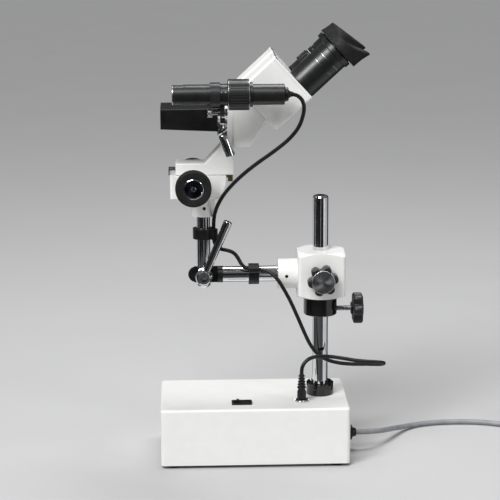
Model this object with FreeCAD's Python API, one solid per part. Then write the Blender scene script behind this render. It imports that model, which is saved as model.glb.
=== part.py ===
import FreeCAD, Part

import math
import os

# Stereo microscope on a swinging boom: transformer base, post, clamp block, boom,
# tilting arm, rack-and-pinion focus, binocular head, clip-on lamp and its leads.
# Lengths are millimetres. While the parts are made, X runs along the base, the
# front is -Y, and Z is height above the surface that the feet stand on.

V = FreeCAD.Vector
UP = V(0, 0, 1)
ALONG_X = V(1, 0, 0)
ALONG_Y = V(0, 1, 0)

# The model's origin: the middle of its box without the leads, on the surface.
ORIGIN_X = 11.27
ORIGIN_Y = -14.8

# Base
BASE_LENGTH = 225.0
BASE_WIDTH = 128.0
BASE_TOP = 72.5
FOOT_HEIGHT = 4.0
WALL = 2.0
SWITCH = V(-15.5, -38.0, BASE_TOP)
SOCKET = V(56.2, -34.0, BASE_TOP)
GLAND = V(BASE_LENGTH / 2, 0.0, 21.8)

# Post and the parts that slide on it
POST = V(80.5, 0.0, 0.0)
POST_RADIUS = 9.3
POST_TOP = 317.0
RUNNING = 0.05
COLLAR_BOTTOM = 172.2
COLLAR_TOP = 195.1
COLLAR_RADIUS = 19.8
COLLAR_KNOB_HEIGHT = 178.4
BLOCK_HALF = 28.0
BLOCK_BOTTOM = 195.4
BLOCK_TOP = 251.0

# Boom and elbow
BOOM_HEIGHT = 222.1
BOOM_END = -36.2
BOSS_END = 29.5
BOSS_RADIUS = 17.8
ELBOW = V(-59.0, 0.0, BOOM_HEIGHT)
ELBOW_RADIUS = 9.9
ROD_RADIUS = 8.1
ROD_BOTTOM = 207.0
LEVER_TIP = V(-29.6, -17.0, 289.7)
CLIP_WIDTH = 12.2
CLIP_RADIUS = 12.5
CHANNEL_RADIUS = 3.0

# Focus block
SOCKET_BOTTOM = 294.1
HOUSING_BOTTOM = 317.0
HOUSING_TOP = 344.4
HOUSING_LEFT = -97.6
HOUSING_RIGHT = -31.9
HOUSING_HALF = 21.0
PINION = V(-70.4, 0.0, 334.0)
MODULE = 0.8
PINION_TEETH = 12
PITCH_RADIUS = MODULE * PINION_TEETH / 2
TOOTH_HEIGHT = 0.6
SHAFT_RADIUS = 3.0
KNOB_RADIUS = 21.1
KNOB_INNER = 36.8
KNOB_OUTER = 50.0
RAIL_TOP = 350.6
CARRIAGE_LEFT = -90.9
CARRIAGE_RIGHT = -22.9
CARRIAGE_BOTTOM = 344.7
CARRIAGE_TOP = 358.6
CARRIAGE_HALF = 15.0
SLOT_HALF = 4.2

# Head
PLATE_LEFT = -36.8
PLATE_RIGHT = -23.4
HOOD_LEFT = -107.6
HOOD_HALF = 30.0
OBJECTIVE_Y = 13.0
OBJECTIVE_HEIGHT = 412.8
EYE_ANGLE = 42.5
EYE_ORIGIN = V(55.0, 0.0, 452.7)
EYE_SPACING = 62.0
HOUSING_DEPTH = 56.1
HINGE_S = 26.0
HINGE_Y = 22.0

# Lamp
LAMP = V(0.0, -76.0, 447.2)
LAMP_PIVOT = V(-42.2, -73.0, 426.0)
LAMP_CORD_RADIUS = 2.25
MAINS_RADIUS = 3.2

eye_turn = math.radians(EYE_ANGLE)
EYE_AXIS = V(math.cos(eye_turn), 0, math.sin(eye_turn))
EYE_ACROSS = V(-math.sin(eye_turn), 0, math.cos(eye_turn))

parts = {}


def block(low, high):
    size = V(*high) - V(*low)
    return Part.makeBox(size.x, size.y, size.z, V(*low))


def rod(start, axis, radius, length):
    return Part.makeCylinder(radius, length, start, axis)


def sleeve(start, axis, outer, inner, length):
    return rod(start, axis, outer, length).cut(rod(start - axis, axis, inner, length + 2))


def slab(outline, low_y, high_y):
    """An outline of (x, z) points, as thick as from low_y to high_y."""
    points = [V(x, low_y, z) for x, z in outline]
    return Part.Face(Part.makePolygon(points + points[:1])).extrude(V(0, high_y - low_y, 0))


def turned(profile, origin, axis):
    """A closed outline of (distance along axis, radius) points, turned about the axis."""
    points = [V(radius, 0, along) for along, radius in profile]
    face = Part.Face(Part.makePolygon(points + points[:1]))
    solid = face.revolve(V(0, 0, 0), UP, 360)
    solid.Placement = FreeCAD.Placement(origin, FreeCAD.Rotation(UP, axis))
    return solid


def rounded(shape, radius, wanted):
    """Rounds the straight or curved edges whose middle passes the test."""
    edges = [e for e in shape.Edges if wanted(e)]
    return shape.makeFillet(radius, edges)


def middle(edge):
    return edge.valueAt((edge.FirstParameter + edge.LastParameter) / 2)


def is_upright(edge):
    ends = edge.Vertexes
    return len(ends) == 2 and (ends[0].Point - ends[1].Point).cross(UP).Length < 1e-6


def lobed(origin, axis, radius, thickness, lobes=6):
    """A hand knob with round lobes about its axis."""
    lobe = 0.34 * radius
    ring = radius - lobe
    knob = rod(V(0, 0, 0), UP, 0.78 * radius, thickness)
    for i in range(lobes):
        turn = 2 * math.pi * (i + 0.25) / lobes
        centre = V(ring * math.cos(turn), ring * math.sin(turn), 0)
        knob = knob.fuse(rod(centre, UP, lobe, thickness))
    rim = [(0, 0), (0, radius - 1.5), (1.5, radius), (thickness - 1.5, radius), (thickness, radius - 1.5)]
    knob = knob.common(turned(rim + [(thickness, 0)], V(0, 0, 0), UP))
    knob.Placement = FreeCAD.Placement(origin, FreeCAD.Rotation(UP, axis))
    return knob


def at_eye(shape):
    """Places a shape made with X across the eyepieces, Y towards the front and Z along them."""
    turn = FreeCAD.Rotation(EYE_ACROSS, V(0, -1, 0), EYE_AXIS)
    shape.Placement = FreeCAD.Placement(EYE_ORIGIN, turn).multiply(shape.Placement)
    return shape


def cord(points, radius):
    """A tube of straight runs and tangent arcs through a route's points."""
    points = [V(*p) for p in points]
    edges = []
    start = points[0]
    for before, corner, after in zip(points, points[1:], points[2:]):
        back = (before - corner).normalize()
        ahead = (after - corner).normalize()
        half_turn = (math.pi - back.getAngle(ahead)) / 2
        reach = 0.45 * min((before - corner).Length, (after - corner).Length)
        arc = reach / math.tan(half_turn)
        inside = (back + ahead).normalize()
        crown = corner + inside * (arc / math.cos(half_turn) - arc)
        edges.append(Part.LineSegment(start, corner + back * reach).toShape())
        edges.append(Part.Arc(corner + back * reach, crown, corner + ahead * reach).toShape())
        start = corner + ahead * reach
    edges.append(Part.LineSegment(start, points[-1]).toShape())
    wire = Part.Wire(edges)
    section = Part.Wire(Part.makeCircle(radius, points[0], points[1] - points[0]))
    return wire.makePipeShell([section], True, False)


# ---------------------------------------------------------------- base


def base_housing():
    half_x = BASE_LENGTH / 2
    half_y = BASE_WIDTH / 2
    shell = block((-half_x, -half_y, FOOT_HEIGHT), (half_x, half_y, BASE_TOP))
    shell = rounded(shell, 5.0, is_upright)
    shell = rounded(shell, 3.0, lambda e: abs(middle(e).z - BASE_TOP) < 1e-6)
    inside = block(
        (-half_x + WALL, -half_y + WALL, FOOT_HEIGHT - 1),
        (half_x - WALL, half_y - WALL, BASE_TOP - WALL),
    )
    shell = shell.cut(rounded(inside, 3.0, is_upright))
    drop = V(0, 0, -2 * WALL)
    shell = shell.cut(rod(V(POST.x, POST.y, BASE_TOP) + drop, UP, POST_RADIUS + 0.1, 9))
    shell = shell.cut(rod(SOCKET + drop, UP, 5.0, 9))
    shell = shell.cut(block((SWITCH.x - 10, SWITCH.y - 6.5, 60), (SWITCH.x + 10, SWITCH.y + 6.5, 80)))
    return shell.cut(rod(GLAND + V(-9, 0, 0), ALONG_X, 6.0, 18))


FOOT_PLACES = {
    "front_left": (-97, -50),
    "front_right": (97, -50),
    "back_left": (-97, 50),
    "back_right": (97, 50),
}


def bottom_plate():
    half_x = BASE_LENGTH / 2 - WALL
    half_y = BASE_WIDTH / 2 - WALL
    plate = block((-half_x, -half_y, FOOT_HEIGHT), (half_x, half_y, FOOT_HEIGHT + WALL))
    plate = rounded(plate, 3.0, is_upright)
    for x, y in FOOT_PLACES.values():
        plate = plate.cut(rod(V(x, y, 0), UP, 2.1, 20))
    return plate.cut(rod(POST, UP, 4.0, 20))


def rubber_foot(x, y):
    """A push-in foot: a round pad below the plate and a barb above it."""
    top = FOOT_HEIGHT + WALL
    profile = [(0, 0), (0, 9), (1, 10), (FOOT_HEIGHT, 10), (FOOT_HEIGHT, 2.1), (top, 2.1)]
    profile += [(top, 3.4), (top + 2.5, 2.0), (top + 2.5, 0)]
    return turned(profile, V(x, y, 0), UP)


def post():
    foot = FOOT_HEIGHT + WALL
    height = POST_TOP - foot
    profile = [(0, 0), (0, POST_RADIUS), (height - 2.5, POST_RADIUS), (height - 0.8, POST_RADIUS - 1)]
    profile += [(height, POST_RADIUS - 3), (height, 0)]
    bar = turned(profile, V(POST.x, POST.y, foot), UP)
    return bar.cut(rod(V(POST.x, POST.y, foot - 1), UP, 4.0, 26))


def post_bolt():
    head = turned([(0, 0), (0, 5.5), (1, 6.5), (3.4, 6.5), (3.4, 0)], V(POST.x, POST.y, 0.6), UP)
    head = head.cut(rod(V(POST.x, POST.y, 0), UP, 2.6, 2.6))
    return head.fuse(rod(V(POST.x, POST.y, 3.9), UP, 4.0, 24))


def post_flange():
    """The ring at the foot of the post, funnelled and notched at its top."""
    profile = [(0, POST_RADIUS), (0, 16.4), (14, 16.4), (15.2, 15.2), (15.2, 14), (9, POST_RADIUS)]
    ring = turned(profile, V(POST.x, POST.y, BASE_TOP), UP)
    for i in range(6):
        turn = math.radians(60 * i + 15)
        notch = block((8, -2.6, BASE_TOP + 11.5), (18, 2.6, BASE_TOP + 16))
        notch.rotate(V(0, 0, 0), UP, math.degrees(turn))
        ring = ring.cut(notch.translate(POST))
    return ring


CORE = V(-52.0, 8.0, FOOT_HEIGHT + WALL)


def transformer_core():
    core = block((-30, -12, 0), (30, 12, 50))
    for x in (-20, 10):
        core = core.cut(block((x, -20, 10), (x + 10, 20, 40)))
    return core.translate(CORE)


def transformer_coil():
    coil = block((-19.8, -22, 10.2), (19.8, 22, 39.8))
    coil = rounded(coil, 4.0, is_upright)
    coil = coil.cut(block((-10, -12, 0), (10, 12, 50)))
    return coil.translate(CORE)


def switch_frame():
    rim = rounded(block((-12, -7.5, 0), (12, 7.5, 2)), 1.5, is_upright)
    body = block((-9.9, -6.4, -13), (9.9, 6.4, 0))
    frame = rim.fuse(body).cut(block((-8.6, -4.6, -9), (8.6, 4.6, 3)))
    frame = frame.cut(rod(V(0, -5.8, -1.5), ALONG_Y, 0.85, 11.6))
    return frame.translate(SWITCH)


ROCKER_TILT = 12.0


def rocker():
    """The rocker pressed down at its right, so its left end stands up."""
    slope = math.tan(math.radians(ROCKER_TILT))
    wing = 7.4
    outline = [(-wing, 3.4 + wing * slope), (0, 3.4), (wing, 3.4 + wing * slope), (wing - 0.8, -0.6)]
    outline += [(2.5, -4.2), (-2.5, -4.2), (-wing + 0.8, -0.6)]
    key = slab(outline, -4.2, 4.2)
    key = key.fuse(rod(V(0, -5.5, 0), ALONG_Y, 0.8, 11.0))
    key.rotate(V(0, 0, 0), ALONG_Y, ROCKER_TILT)
    return key.translate(SWITCH + V(0, 0, -1.5))


def lamp_socket():
    """The low-voltage socket: a slotted round nut on the base and its barrel below."""
    profile = [(-14, 0), (-14, 5.0), (0, 5.0), (0, 7.2), (2.4, 7.2), (3.2, 6.4), (3.2, 2.8)]
    profile += [(-11, 2.8), (-11, 0)]
    socket = turned(profile, SOCKET, UP)
    for i in range(2):
        slot = block((-8, -0.7, 2.0), (8, 0.7, 4))
        slot.rotate(V(0, 0, 0), UP, 90 * i + 30)
        socket = socket.cut(slot.translate(SOCKET))
    return socket


PLUG_BOTTOM = 3.4
PLUG_TOP = 34.5


def lamp_plug():
    profile = [(-10, 0), (-10, 1.9), (-9, 2.7), (PLUG_BOTTOM, 2.7), (PLUG_BOTTOM, 4.9)]
    profile += [(PLUG_BOTTOM + 0.6, 5.3), (20, 5.3)]
    for i in range(4):
        low = 20.4 + 3.4 * i
        size = 5.1 - 0.45 * i
        profile += [(low, size - 1.1), (low + 1.0, size - 1.1), (low + 1.2, size), (low + 2.9, size)]
    profile += [(PLUG_TOP, 3.2), (PLUG_TOP, 0)]
    return turned(profile, SOCKET, UP)


GLAND_END = 12.6


def mains_gland():
    profile = [(-8, 0), (-8, 8.5), (-2.05, 8.5), (-2.05, 6.0), (0, 6.0), (0, 9.5), (6.2, 9.5)]
    profile += [(7.4, 8.6), (8.0, 6.2), (GLAND_END, 4.6), (GLAND_END, 0)]
    return turned(profile, GLAND, ALONG_X)


MAINS_Z = MAINS_RADIUS + 0.3
MAINS_ROUTE = [
    (GLAND.x + GLAND_END, 0, 21.8),
    (137, 0, 21.8),
    (149, 5, 20.8),
    (159, 15, 18.2),
    (167.4, 28.6, 15),
    (176.6, 44, 11.2),
    (187, 59.6, 7.4),
    (200, 74, 4.4),
    (217, 84.4, MAINS_Z),
    (241, 89.6, MAINS_Z),
    (268, 90.6, MAINS_Z),
    (293, 87, MAINS_Z),
    (313, 79.5, MAINS_Z),
    (330, 69.6, MAINS_Z),
    (345.6, 58.4, MAINS_Z),
]
TAIL_ROUTE = [
    (330.4, 80, 15),
    (330.6, 70, 13),
    (332, 59, 9.6),
    (336.4, 48.4, 7.2),
    (344.6, 39, 6.6),
    (355, 33, 7.2),
    (366, 31, 7.4),
]
COIL_CENTRE = V(372.0, 96.0, 0.3)
COIL_RADIUS = 35.0
COIL_HEIGHT = 19.4
COIL_HALF = 9.7


def mains_coil():
    """The outer shape of the wound length: a round ring lying on the surface."""
    inner = COIL_RADIUS - COIL_HALF
    outer = COIL_RADIUS + COIL_HALF
    soft = 3.2
    profile = [(0, inner + soft), (0, outer - soft), (soft, outer), (COIL_HEIGHT - soft, outer)]
    profile += [(COIL_HEIGHT, outer - soft), (COIL_HEIGHT, inner + soft), (COIL_HEIGHT - soft, inner)]
    profile += [(soft, inner)]
    return turned(profile, COIL_CENTRE, UP)


PLUG_PLACE = V(366.0, 31.0, 0.4)


def mains_plug():
    """A moulded two-pin plug lying on its flat side: cord sleeve, body and pins along +X."""
    outline = [(16, 3), (19, 0), (46, 0), (50, 2), (50, 12), (46, 14), (19, 14), (16, 11)]
    body = slab(outline, -10, 10)
    body = rounded(body, 2.0, lambda e: abs(abs(middle(e).y) - 10) < 1e-6)
    body = body.fuse(turned([(0, 0), (0, 4.4), (17, 6.4), (17, 0)], V(0, 0, 7), ALONG_X))
    for y in (-9, 9):
        body = body.fuse(rod(V(48, y * 0.8, 7), ALONG_X, 2.0, 19))
    return body.translate(PLUG_PLACE)


# ---------------------------------------------------------------- post clamp and boom


def stop_collar():
    height = COLLAR_TOP - COLLAR_BOTTOM
    profile = [(0, POST_RADIUS + RUNNING), (0, COLLAR_RADIUS - 0.8), (0.8, COLLAR_RADIUS)]
    profile += [(height - 0.8, COLLAR_RADIUS), (height, COLLAR_RADIUS - 0.8)]
    profile += [(height, POST_RADIUS + RUNNING)]
    ring = turned(profile, V(POST.x, POST.y, COLLAR_BOTTOM), UP)
    return ring.cut(rod(V(POST.x, 0, COLLAR_KNOB_HEIGHT), ALONG_X, 3.0 + RUNNING, 40))


def collar_knob():
    """A lobed knob on its threaded stud, which presses on the post."""
    stud = rod(V(POST.x + POST_RADIUS + 0.1, 0, COLLAR_KNOB_HEIGHT), ALONG_X, 3.0, 30)
    hub = rod(V(117.4, 0, COLLAR_KNOB_HEIGHT), ALONG_X, 7.5, 6)
    grip = lobed(V(119.6, 0, COLLAR_KNOB_HEIGHT), ALONG_X, 18.6, 11.8)
    return stud.fuse(hub).fuse(grip)


def boom_block():
    """A square block whose corners are turned off in a cone at both ends, with the boom's boss."""
    low = V(POST.x - BLOCK_HALF, -BLOCK_HALF, BLOCK_BOTTOM)
    high = V(POST.x + BLOCK_HALF, BLOCK_HALF, BLOCK_TOP)
    body = rounded(block(low, high), 4.0, is_upright)
    height = BLOCK_TOP - BLOCK_BOTTOM
    drop = 5.0
    wide = 42.0
    slope = wide - BLOCK_HALF
    profile = [(0, 0), (0, BLOCK_HALF), (drop * 1.2, wide), (height - drop * 1.2, wide)]
    profile += [(height, wide - slope), (height, 0)]
    body = body.common(turned(profile, V(POST.x, 0, BLOCK_BOTTOM), UP))
    boss_length = POST.x - BLOCK_HALF - BOSS_END + 2
    body = body.fuse(rod(V(BOSS_END, 0, BOOM_HEIGHT), ALONG_X, BOSS_RADIUS, boss_length))
    body = body.cut(rod(V(POST.x, 0, 0), UP, POST_RADIUS + RUNNING, 400))
    body = body.cut(rod(V(BOSS_END - 1, 0, BOOM_HEIGHT), ALONG_X, POST_RADIUS, 37.5))
    body = body.cut(rod(V(POST.x, -BLOCK_HALF - 1, BOOM_HEIGHT), ALONG_Y, 4.0 + RUNNING, BLOCK_HALF))
    return body.cut(rod(V(39.3, -BOSS_RADIUS - 1, BOOM_HEIGHT), ALONG_Y, 2.0, 6))


def block_knob():
    """The clamp knob: five lobes on a hub, with its stud reaching to the post."""
    stud = rod(V(POST.x, -POST_RADIUS - 0.1, BOOM_HEIGHT), V(0, -1, 0), 4.0, 24)
    hub = rod(V(POST.x, -BLOCK_HALF - 0.4, BOOM_HEIGHT), V(0, -1, 0), 9.0, 6)
    grip = lobed(V(POST.x, -BLOCK_HALF - 5, BOOM_HEIGHT), V(0, -1, 0), 17.7, 16)
    face = V(POST.x, -BLOCK_HALF - 20.5, BOOM_HEIGHT)
    cap = turned([(0, 0), (0, 14), (2.4, 14), (3.4, 13), (3.4, 0)], face, V(0, -1, 0))
    return stud.fuse(hub).fuse(grip).fuse(cap)


def boom_arm():
    arm = rod(V(BOOM_END, 0, BOOM_HEIGHT), ALONG_X, POST_RADIUS, 102)
    return arm.cut(rod(V(BOOM_END - 1, 0, BOOM_HEIGHT), ALONG_X, 5.0, 16))


LAP = 0.15
SHOULDER = -42.5


def elbow_piece():
    """The fixed half of the elbow: a round end, halved at the front where the rod turns."""
    left = -77.6
    dome = [(0, 0), (0.6, 3.2), (2.0, 5.8), (4.6, 8.2), (8.5, ELBOW_RADIUS)]
    profile = dome + [(BOOM_END - left, ELBOW_RADIUS), (BOOM_END - left, 0)]
    end = turned(profile, V(left, 0, BOOM_HEIGHT), ALONG_X)
    end = end.fuse(rod(V(BOOM_END - 1, 0, BOOM_HEIGHT), ALONG_X, 5.0, 14))
    end = end.cut(block((left - 1, -20, 200), (SHOULDER, LAP, 240)))
    return end.cut(rod(V(ELBOW.x, -20, ELBOW.z), ALONG_Y, 3.0, 40))


def elbow_bolt():
    """The pivot bolt, from the back, through the elbow and the rod to the lever's hub."""
    profile = [(0, 0), (0, 6.2), (5.6, 6.2), (6.6, 5.2), (6.6, 0)]
    head = turned(profile, V(ELBOW.x, ELBOW_RADIUS - 2.8, ELBOW.z), ALONG_Y)
    shank = rod(V(ELBOW.x, -19, ELBOW.z), ALONG_Y, 3.0, 27)
    return head.cut(elbow_piece()).fuse(shank)


def cord_clip(centre, axis, side):
    """A ring round a rod, with a small open hook that holds the lamp lead."""
    back = axis * (-CLIP_WIDTH / 2)
    hook = centre + side
    ring = rod(centre + back, axis, CLIP_RADIUS, CLIP_WIDTH)
    ring = ring.fuse(rod(hook + back, axis, CHANNEL_RADIUS + 2.0, CLIP_WIDTH))
    return ring, hook


def boom_clip():
    centre = V(0.7, 0, BOOM_HEIGHT)
    ring, hook = cord_clip(centre, ALONG_X, V(0, -12.4, 8.4))
    ring = ring.cut(rod(centre - V(20, 0, 0), ALONG_X, POST_RADIUS, 40))
    ring = ring.cut(rod(hook - V(20, 0, 0), ALONG_X, CHANNEL_RADIUS, 40))
    return ring.cut(block((-20, hook.y - 1.4, hook.z), (20, hook.y + 1.4, hook.z + 9)))


# ---------------------------------------------------------------- lever


def lever_hub():
    """A ball hub screwed on the pivot bolt, with a hexagon recess in its front."""
    ball = Part.makeSphere(10.0, V(ELBOW.x, -17, ELBOW.z))
    ball = ball.cut(block((-100, -10, 200), (0, 0, 250))).cut(block((-100, -40, 200), (0, -24.2, 250)))
    ball = ball.fuse(rod(V(ELBOW.x, -11.5, ELBOW.z), ALONG_Y, 10.7, 3.1))
    ball = ball.cut(rod(V(ELBOW.x, -20, ELBOW.z), ALONG_Y, 3.0 + RUNNING, 30))
    turns = [math.radians(60 * i) for i in range(7)]
    hexagon = [V(4.6 * math.cos(turn), 0, 4.6 * math.sin(turn)) for turn in turns]
    recess = Part.Face(Part.makePolygon(hexagon)).extrude(V(0, 5, 0))
    return ball.cut(recess.translate(V(ELBOW.x, -25, ELBOW.z)))


def lever_handle():
    start = V(ELBOW.x, LEVER_TIP.y, ELBOW.z)
    axis = (LEVER_TIP - start).normalize()
    length = (LEVER_TIP - start).Length
    profile = [(8, 0), (8, 3.3), (length - 6, 5.4), (length - 2.4, 4.9), (length - 0.6, 3.2), (length, 0)]
    return turned(profile, start, axis).cut(lever_hub())


# ---------------------------------------------------------------- tilting arm and focus


def tilt_rod():
    """The upright rod, halved at the back of its lower end, where it turns on the elbow."""
    profile = [(0, 0), (0, 5.6), (2.5, ROD_RADIUS), (108, ROD_RADIUS), (108, 0)]
    bar = turned(profile, V(ELBOW.x, 0, ROD_BOTTOM), UP)
    bar = bar.cut(block((-80, -LAP, 200), (-40, 20, ELBOW.z + 20.5)))
    return bar.cut(rod(V(ELBOW.x, -20, ELBOW.z), ALONG_Y, 3.0 + RUNNING, 40))


def rod_clip():
    centre = V(ELBOW.x, 0, 272.5)
    ring, hook = cord_clip(centre, UP, V(12.2, -6.6, 0))
    ring = ring.cut(rod(centre - V(0, 0, 20), UP, ROD_RADIUS, 40))
    ring = ring.cut(rod(hook - V(0, 0, 20), UP, CHANNEL_RADIUS, 40))
    return ring.cut(block((hook.x, hook.y - 1.4, 250), (hook.x + 9, hook.y + 1.4, 300)))


def focus_housing():
    """The fixed focus block, with the rod's socket below it and a neck for each knob."""
    left = HOUSING_LEFT
    right = HOUSING_RIGHT
    face = Part.Face(
        Part.Wire(
            [
                Part.LineSegment(V(left, 0, HOUSING_BOTTOM), V(left, 0, HOUSING_TOP)).toShape(),
                Part.LineSegment(V(left, 0, HOUSING_TOP), V(right, 0, HOUSING_TOP)).toShape(),
                Part.LineSegment(V(right, 0, HOUSING_TOP), V(right, 0, HOUSING_TOP - 6)).toShape(),
                Part.Arc(
                    V(right, 0, HOUSING_TOP - 6),
                    V(right - 3.6, 0, HOUSING_TOP - 18),
                    V(right - 10, 0, HOUSING_BOTTOM),
                ).toShape(),
                Part.LineSegment(V(right - 10, 0, HOUSING_BOTTOM), V(left, 0, HOUSING_BOTTOM)).toShape(),
            ]
        )
    )
    body = face.extrude(V(0, 2 * HOUSING_HALF, 0)).translate(V(0, -HOUSING_HALF, 0))
    body = rounded(body, 3.0, lambda e: is_upright(e) and middle(e).x < -90)
    body = rounded(body, 1.2, lambda e: abs(middle(e).z - HOUSING_BOTTOM) < 1e-6)
    body = body.fuse(rod(V(ELBOW.x, 0, SOCKET_BOTTOM), UP, 13.9, HOUSING_BOTTOM - SOCKET_BOTTOM + 1))
    neck = KNOB_INNER - 0.5
    body = body.fuse(rod(PINION - V(0, neck, 0), ALONG_Y, 9.5, 2 * neck))
    socket_depth = ROD_BOTTOM + 108 - SOCKET_BOTTOM
    body = body.cut(rod(V(ELBOW.x, 0, SOCKET_BOTTOM - 1), UP, ROD_RADIUS, socket_depth + 1))
    body = body.cut(rod(PINION - V(0, 60, 0), ALONG_Y, SHAFT_RADIUS + RUNNING, 120))
    body = body.cut(rod(PINION - V(0, SLOT_HALF, 0), ALONG_Y, 6.6, 2 * SLOT_HALF))
    body = body.cut(block((left - 1, -SLOT_HALF, 334.4), (right + 1, SLOT_HALF, HOUSING_TOP + 1)))
    return body.cut(rod(V(-57.8, -15, 304.5), ALONG_Y, 2.0, 7.5))


def focus_rail(side):
    """One of the two dovetail strips on the focus block, wider at its top."""
    outline = [V(-99.2, 5.0 * side, HOUSING_TOP), V(-99.2, 11.0 * side, HOUSING_TOP)]
    outline += [V(-99.2, 12.6 * side, RAIL_TOP), V(-99.2, 5.0 * side, RAIL_TOP)]
    face = Part.Face(Part.makePolygon(outline + outline[:1]))
    return face.extrude(V(HOUSING_RIGHT + 99.2, 0, 0))


def pinion_shaft():
    """The focus shaft, with the pinion cut in its middle: a gap points up at rest."""
    shaft = rod(PINION - V(0, KNOB_OUTER - 4, 0), ALONG_Y, SHAFT_RADIUS, 2 * (KNOB_OUTER - 4))
    root = PITCH_RADIUS - TOOTH_HEIGHT - 0.3
    tip = PITCH_RADIUS + TOOTH_HEIGHT
    gear = rod(PINION - V(0, 3.6, 0), ALONG_Y, root, 7.2)
    for i in range(PINION_TEETH):
        tooth = slab([(root - 0.6, -0.62), (tip, -0.24), (tip, 0.24), (root - 0.6, 0.62)], -3.6, 3.6)
        tooth.rotate(V(0, 0, 0), ALONG_Y, 360 / PINION_TEETH * (i + 0.5))
        gear = gear.fuse(tooth.translate(PINION))
    return shaft.fuse(gear)


def focus_knob(side):
    """A rubber-rimmed knob with a dished outer face."""
    thick = KNOB_OUTER - KNOB_INNER
    profile = [(0, SHAFT_RADIUS), (0, 19.5), (1.4, KNOB_RADIUS), (thick - 1.8, KNOB_RADIUS)]
    profile += [(thick, 19.0), (thick, 11.6), (thick - 4, 10.6), (thick - 4, SHAFT_RADIUS)]
    return turned(profile, PINION + V(0, KNOB_INNER * side, 0), V(0, side, 0))


def carriage():
    """The sliding block, its sloping arm and the upright plate that carries the head."""
    left = CARRIAGE_LEFT
    right = CARRIAGE_RIGHT
    outline = [(left, CARRIAGE_BOTTOM), (left, CARRIAGE_TOP), (-56.4, CARRIAGE_TOP), (-39.5, 377.3)]
    outline += [(PLATE_LEFT, 381), (PLATE_LEFT, 426), (PLATE_RIGHT, 426), (PLATE_RIGHT, 362)]
    outline += [(right, 361.4), (right, CARRIAGE_BOTTOM)]
    body = slab(outline, -CARRIAGE_HALF, CARRIAGE_HALF)
    body = rounded(body, 1.2, lambda e: abs(abs(middle(e).y) - CARRIAGE_HALF) < 1e-6 and middle(e).x < -40)
    plate = block((PLATE_LEFT, -HOOD_HALF, 381), (PLATE_RIGHT, HOOD_HALF, 427))
    ends = ((HOOD_HALF, 381), (HOOD_HALF, 427), (-HOOD_HALF, 381), (-HOOD_HALF, 427))
    plate = rounded(plate, 4.0, lambda e: (round(middle(e).y, 3), round(middle(e).z, 3)) in ends)
    body = body.fuse(plate)
    floor = CARRIAGE_BOTTOM - 1
    roof = RAIL_TOP + 0.3
    corners = [V(left - 1, y, z) for y, z in ((-11.0, floor), (11.0, floor), (12.9, roof), (-12.9, roof))]
    groove = Part.Face(Part.makePolygon(corners + corners[:1])).extrude(V(right - left + 2, 0, 0))
    body = body.cut(groove)
    for y in (-OBJECTIVE_Y, OBJECTIVE_Y):
        body = body.cut(rod(V(PLATE_LEFT - 1, y, OBJECTIVE_HEIGHT), ALONG_X, 8.6, 30))
    pin_mouth = V(LAMP_PIN.x, -CARRIAGE_HALF - 1, LAMP_PIN.z)
    return body.cut(rod(pin_mouth, ALONG_Y, 3.0 + RUNNING, PIN_DEPTH + 1.5))


RACK_TIP = PINION.z + PITCH_RADIUS - TOOTH_HEIGHT
RACK_ROOT = PINION.z + PITCH_RADIUS + TOOTH_HEIGHT + 0.3


def focus_rack():
    """A brass bar under the carriage, with its teeth down and a solid block at its right end."""
    left = -89.0
    right = -23.6
    roof = RAIL_TOP + 0.3
    bar = block((left, -3, RACK_ROOT), (right, 3, roof))
    bar = bar.fuse(block((right - 5.7, -3, 335.0), (right, 3, roof)))
    pitch = math.pi * MODULE
    first = math.ceil((left + 1 - PINION.x) / pitch)
    last = math.floor((right - 12 - PINION.x) / pitch)
    for i in range(first, last + 1):
        x = PINION.x + i * pitch
        root = RACK_ROOT + 0.4
        outline = [(x - 0.55, root), (x - 0.22, RACK_TIP), (x + 0.22, RACK_TIP), (x + 0.55, root)]
        bar = bar.fuse(slab(outline, -3, 3))
    return bar


# ---------------------------------------------------------------- head


def head_body():
    """The hollow body behind the plate, cut square to the eyepieces where the prism boxes turn."""
    bottom = 379.2
    top = 449.9
    outline = [(PLATE_RIGHT, bottom), (-3.5, bottom), (16.0, 411.8), (-18.8, top), (PLATE_RIGHT, top)]
    inner = [(PLATE_RIGHT + 3, bottom + 3), (-5.2, bottom + 3), (11.8, 411.2), (-20.0, top - 4.6)]
    body = slab(outline, -31, 31)
    body = rounded(body, 2.0, lambda e: abs(abs(middle(e).y) - 31) < 1e-6 and -20 < middle(e).x)
    body = body.cut(slab(inner + [(PLATE_RIGHT + 3, top - 4.6)], -28, 28))
    for y in (-OBJECTIVE_Y, OBJECTIVE_Y):
        body = body.cut(rod(V(PLATE_RIGHT - 1, y, OBJECTIVE_HEIGHT), ALONG_X, 8.6, 10))
    for side in (-1, 1):
        spigot = at_eye(rod(V(HINGE_S, HINGE_Y * side, -HOUSING_DEPTH - 4), UP, 9.0, 6.2))
        bore = at_eye(rod(V(HINGE_S, HINGE_Y * side, -HOUSING_DEPTH - 9), UP, 7.0, 20))
        body = body.fuse(spigot).cut(bore)
    return body


def objective_hood():
    """The dark box round the objectives, open at its front end and slightly deeper at its back."""
    outline = [(HOOD_LEFT, 401.2), (HOOD_LEFT, 424.9), (PLATE_LEFT, 425.3), (PLATE_LEFT, 398.0)]
    hood = slab(outline, -HOOD_HALF, HOOD_HALF)
    hood = rounded(
        hood, 1.6, lambda e: abs(abs(middle(e).y) - HOOD_HALF) < 1e-6 and abs(middle(e).x + 72) < 9
    )
    cavity = [(HOOD_LEFT - 1, 403.3), (HOOD_LEFT - 1, 422.7), (-46, 423.2), (-46, 401.2)]
    hood = hood.cut(slab(cavity, -HOOD_HALF + 2.2, HOOD_HALF - 2.2))
    for y in (-OBJECTIVE_Y, OBJECTIVE_Y):
        hood = hood.cut(rod(V(-50, y, OBJECTIVE_HEIGHT), ALONG_X, 7.0, 20))
    return hood


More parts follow.
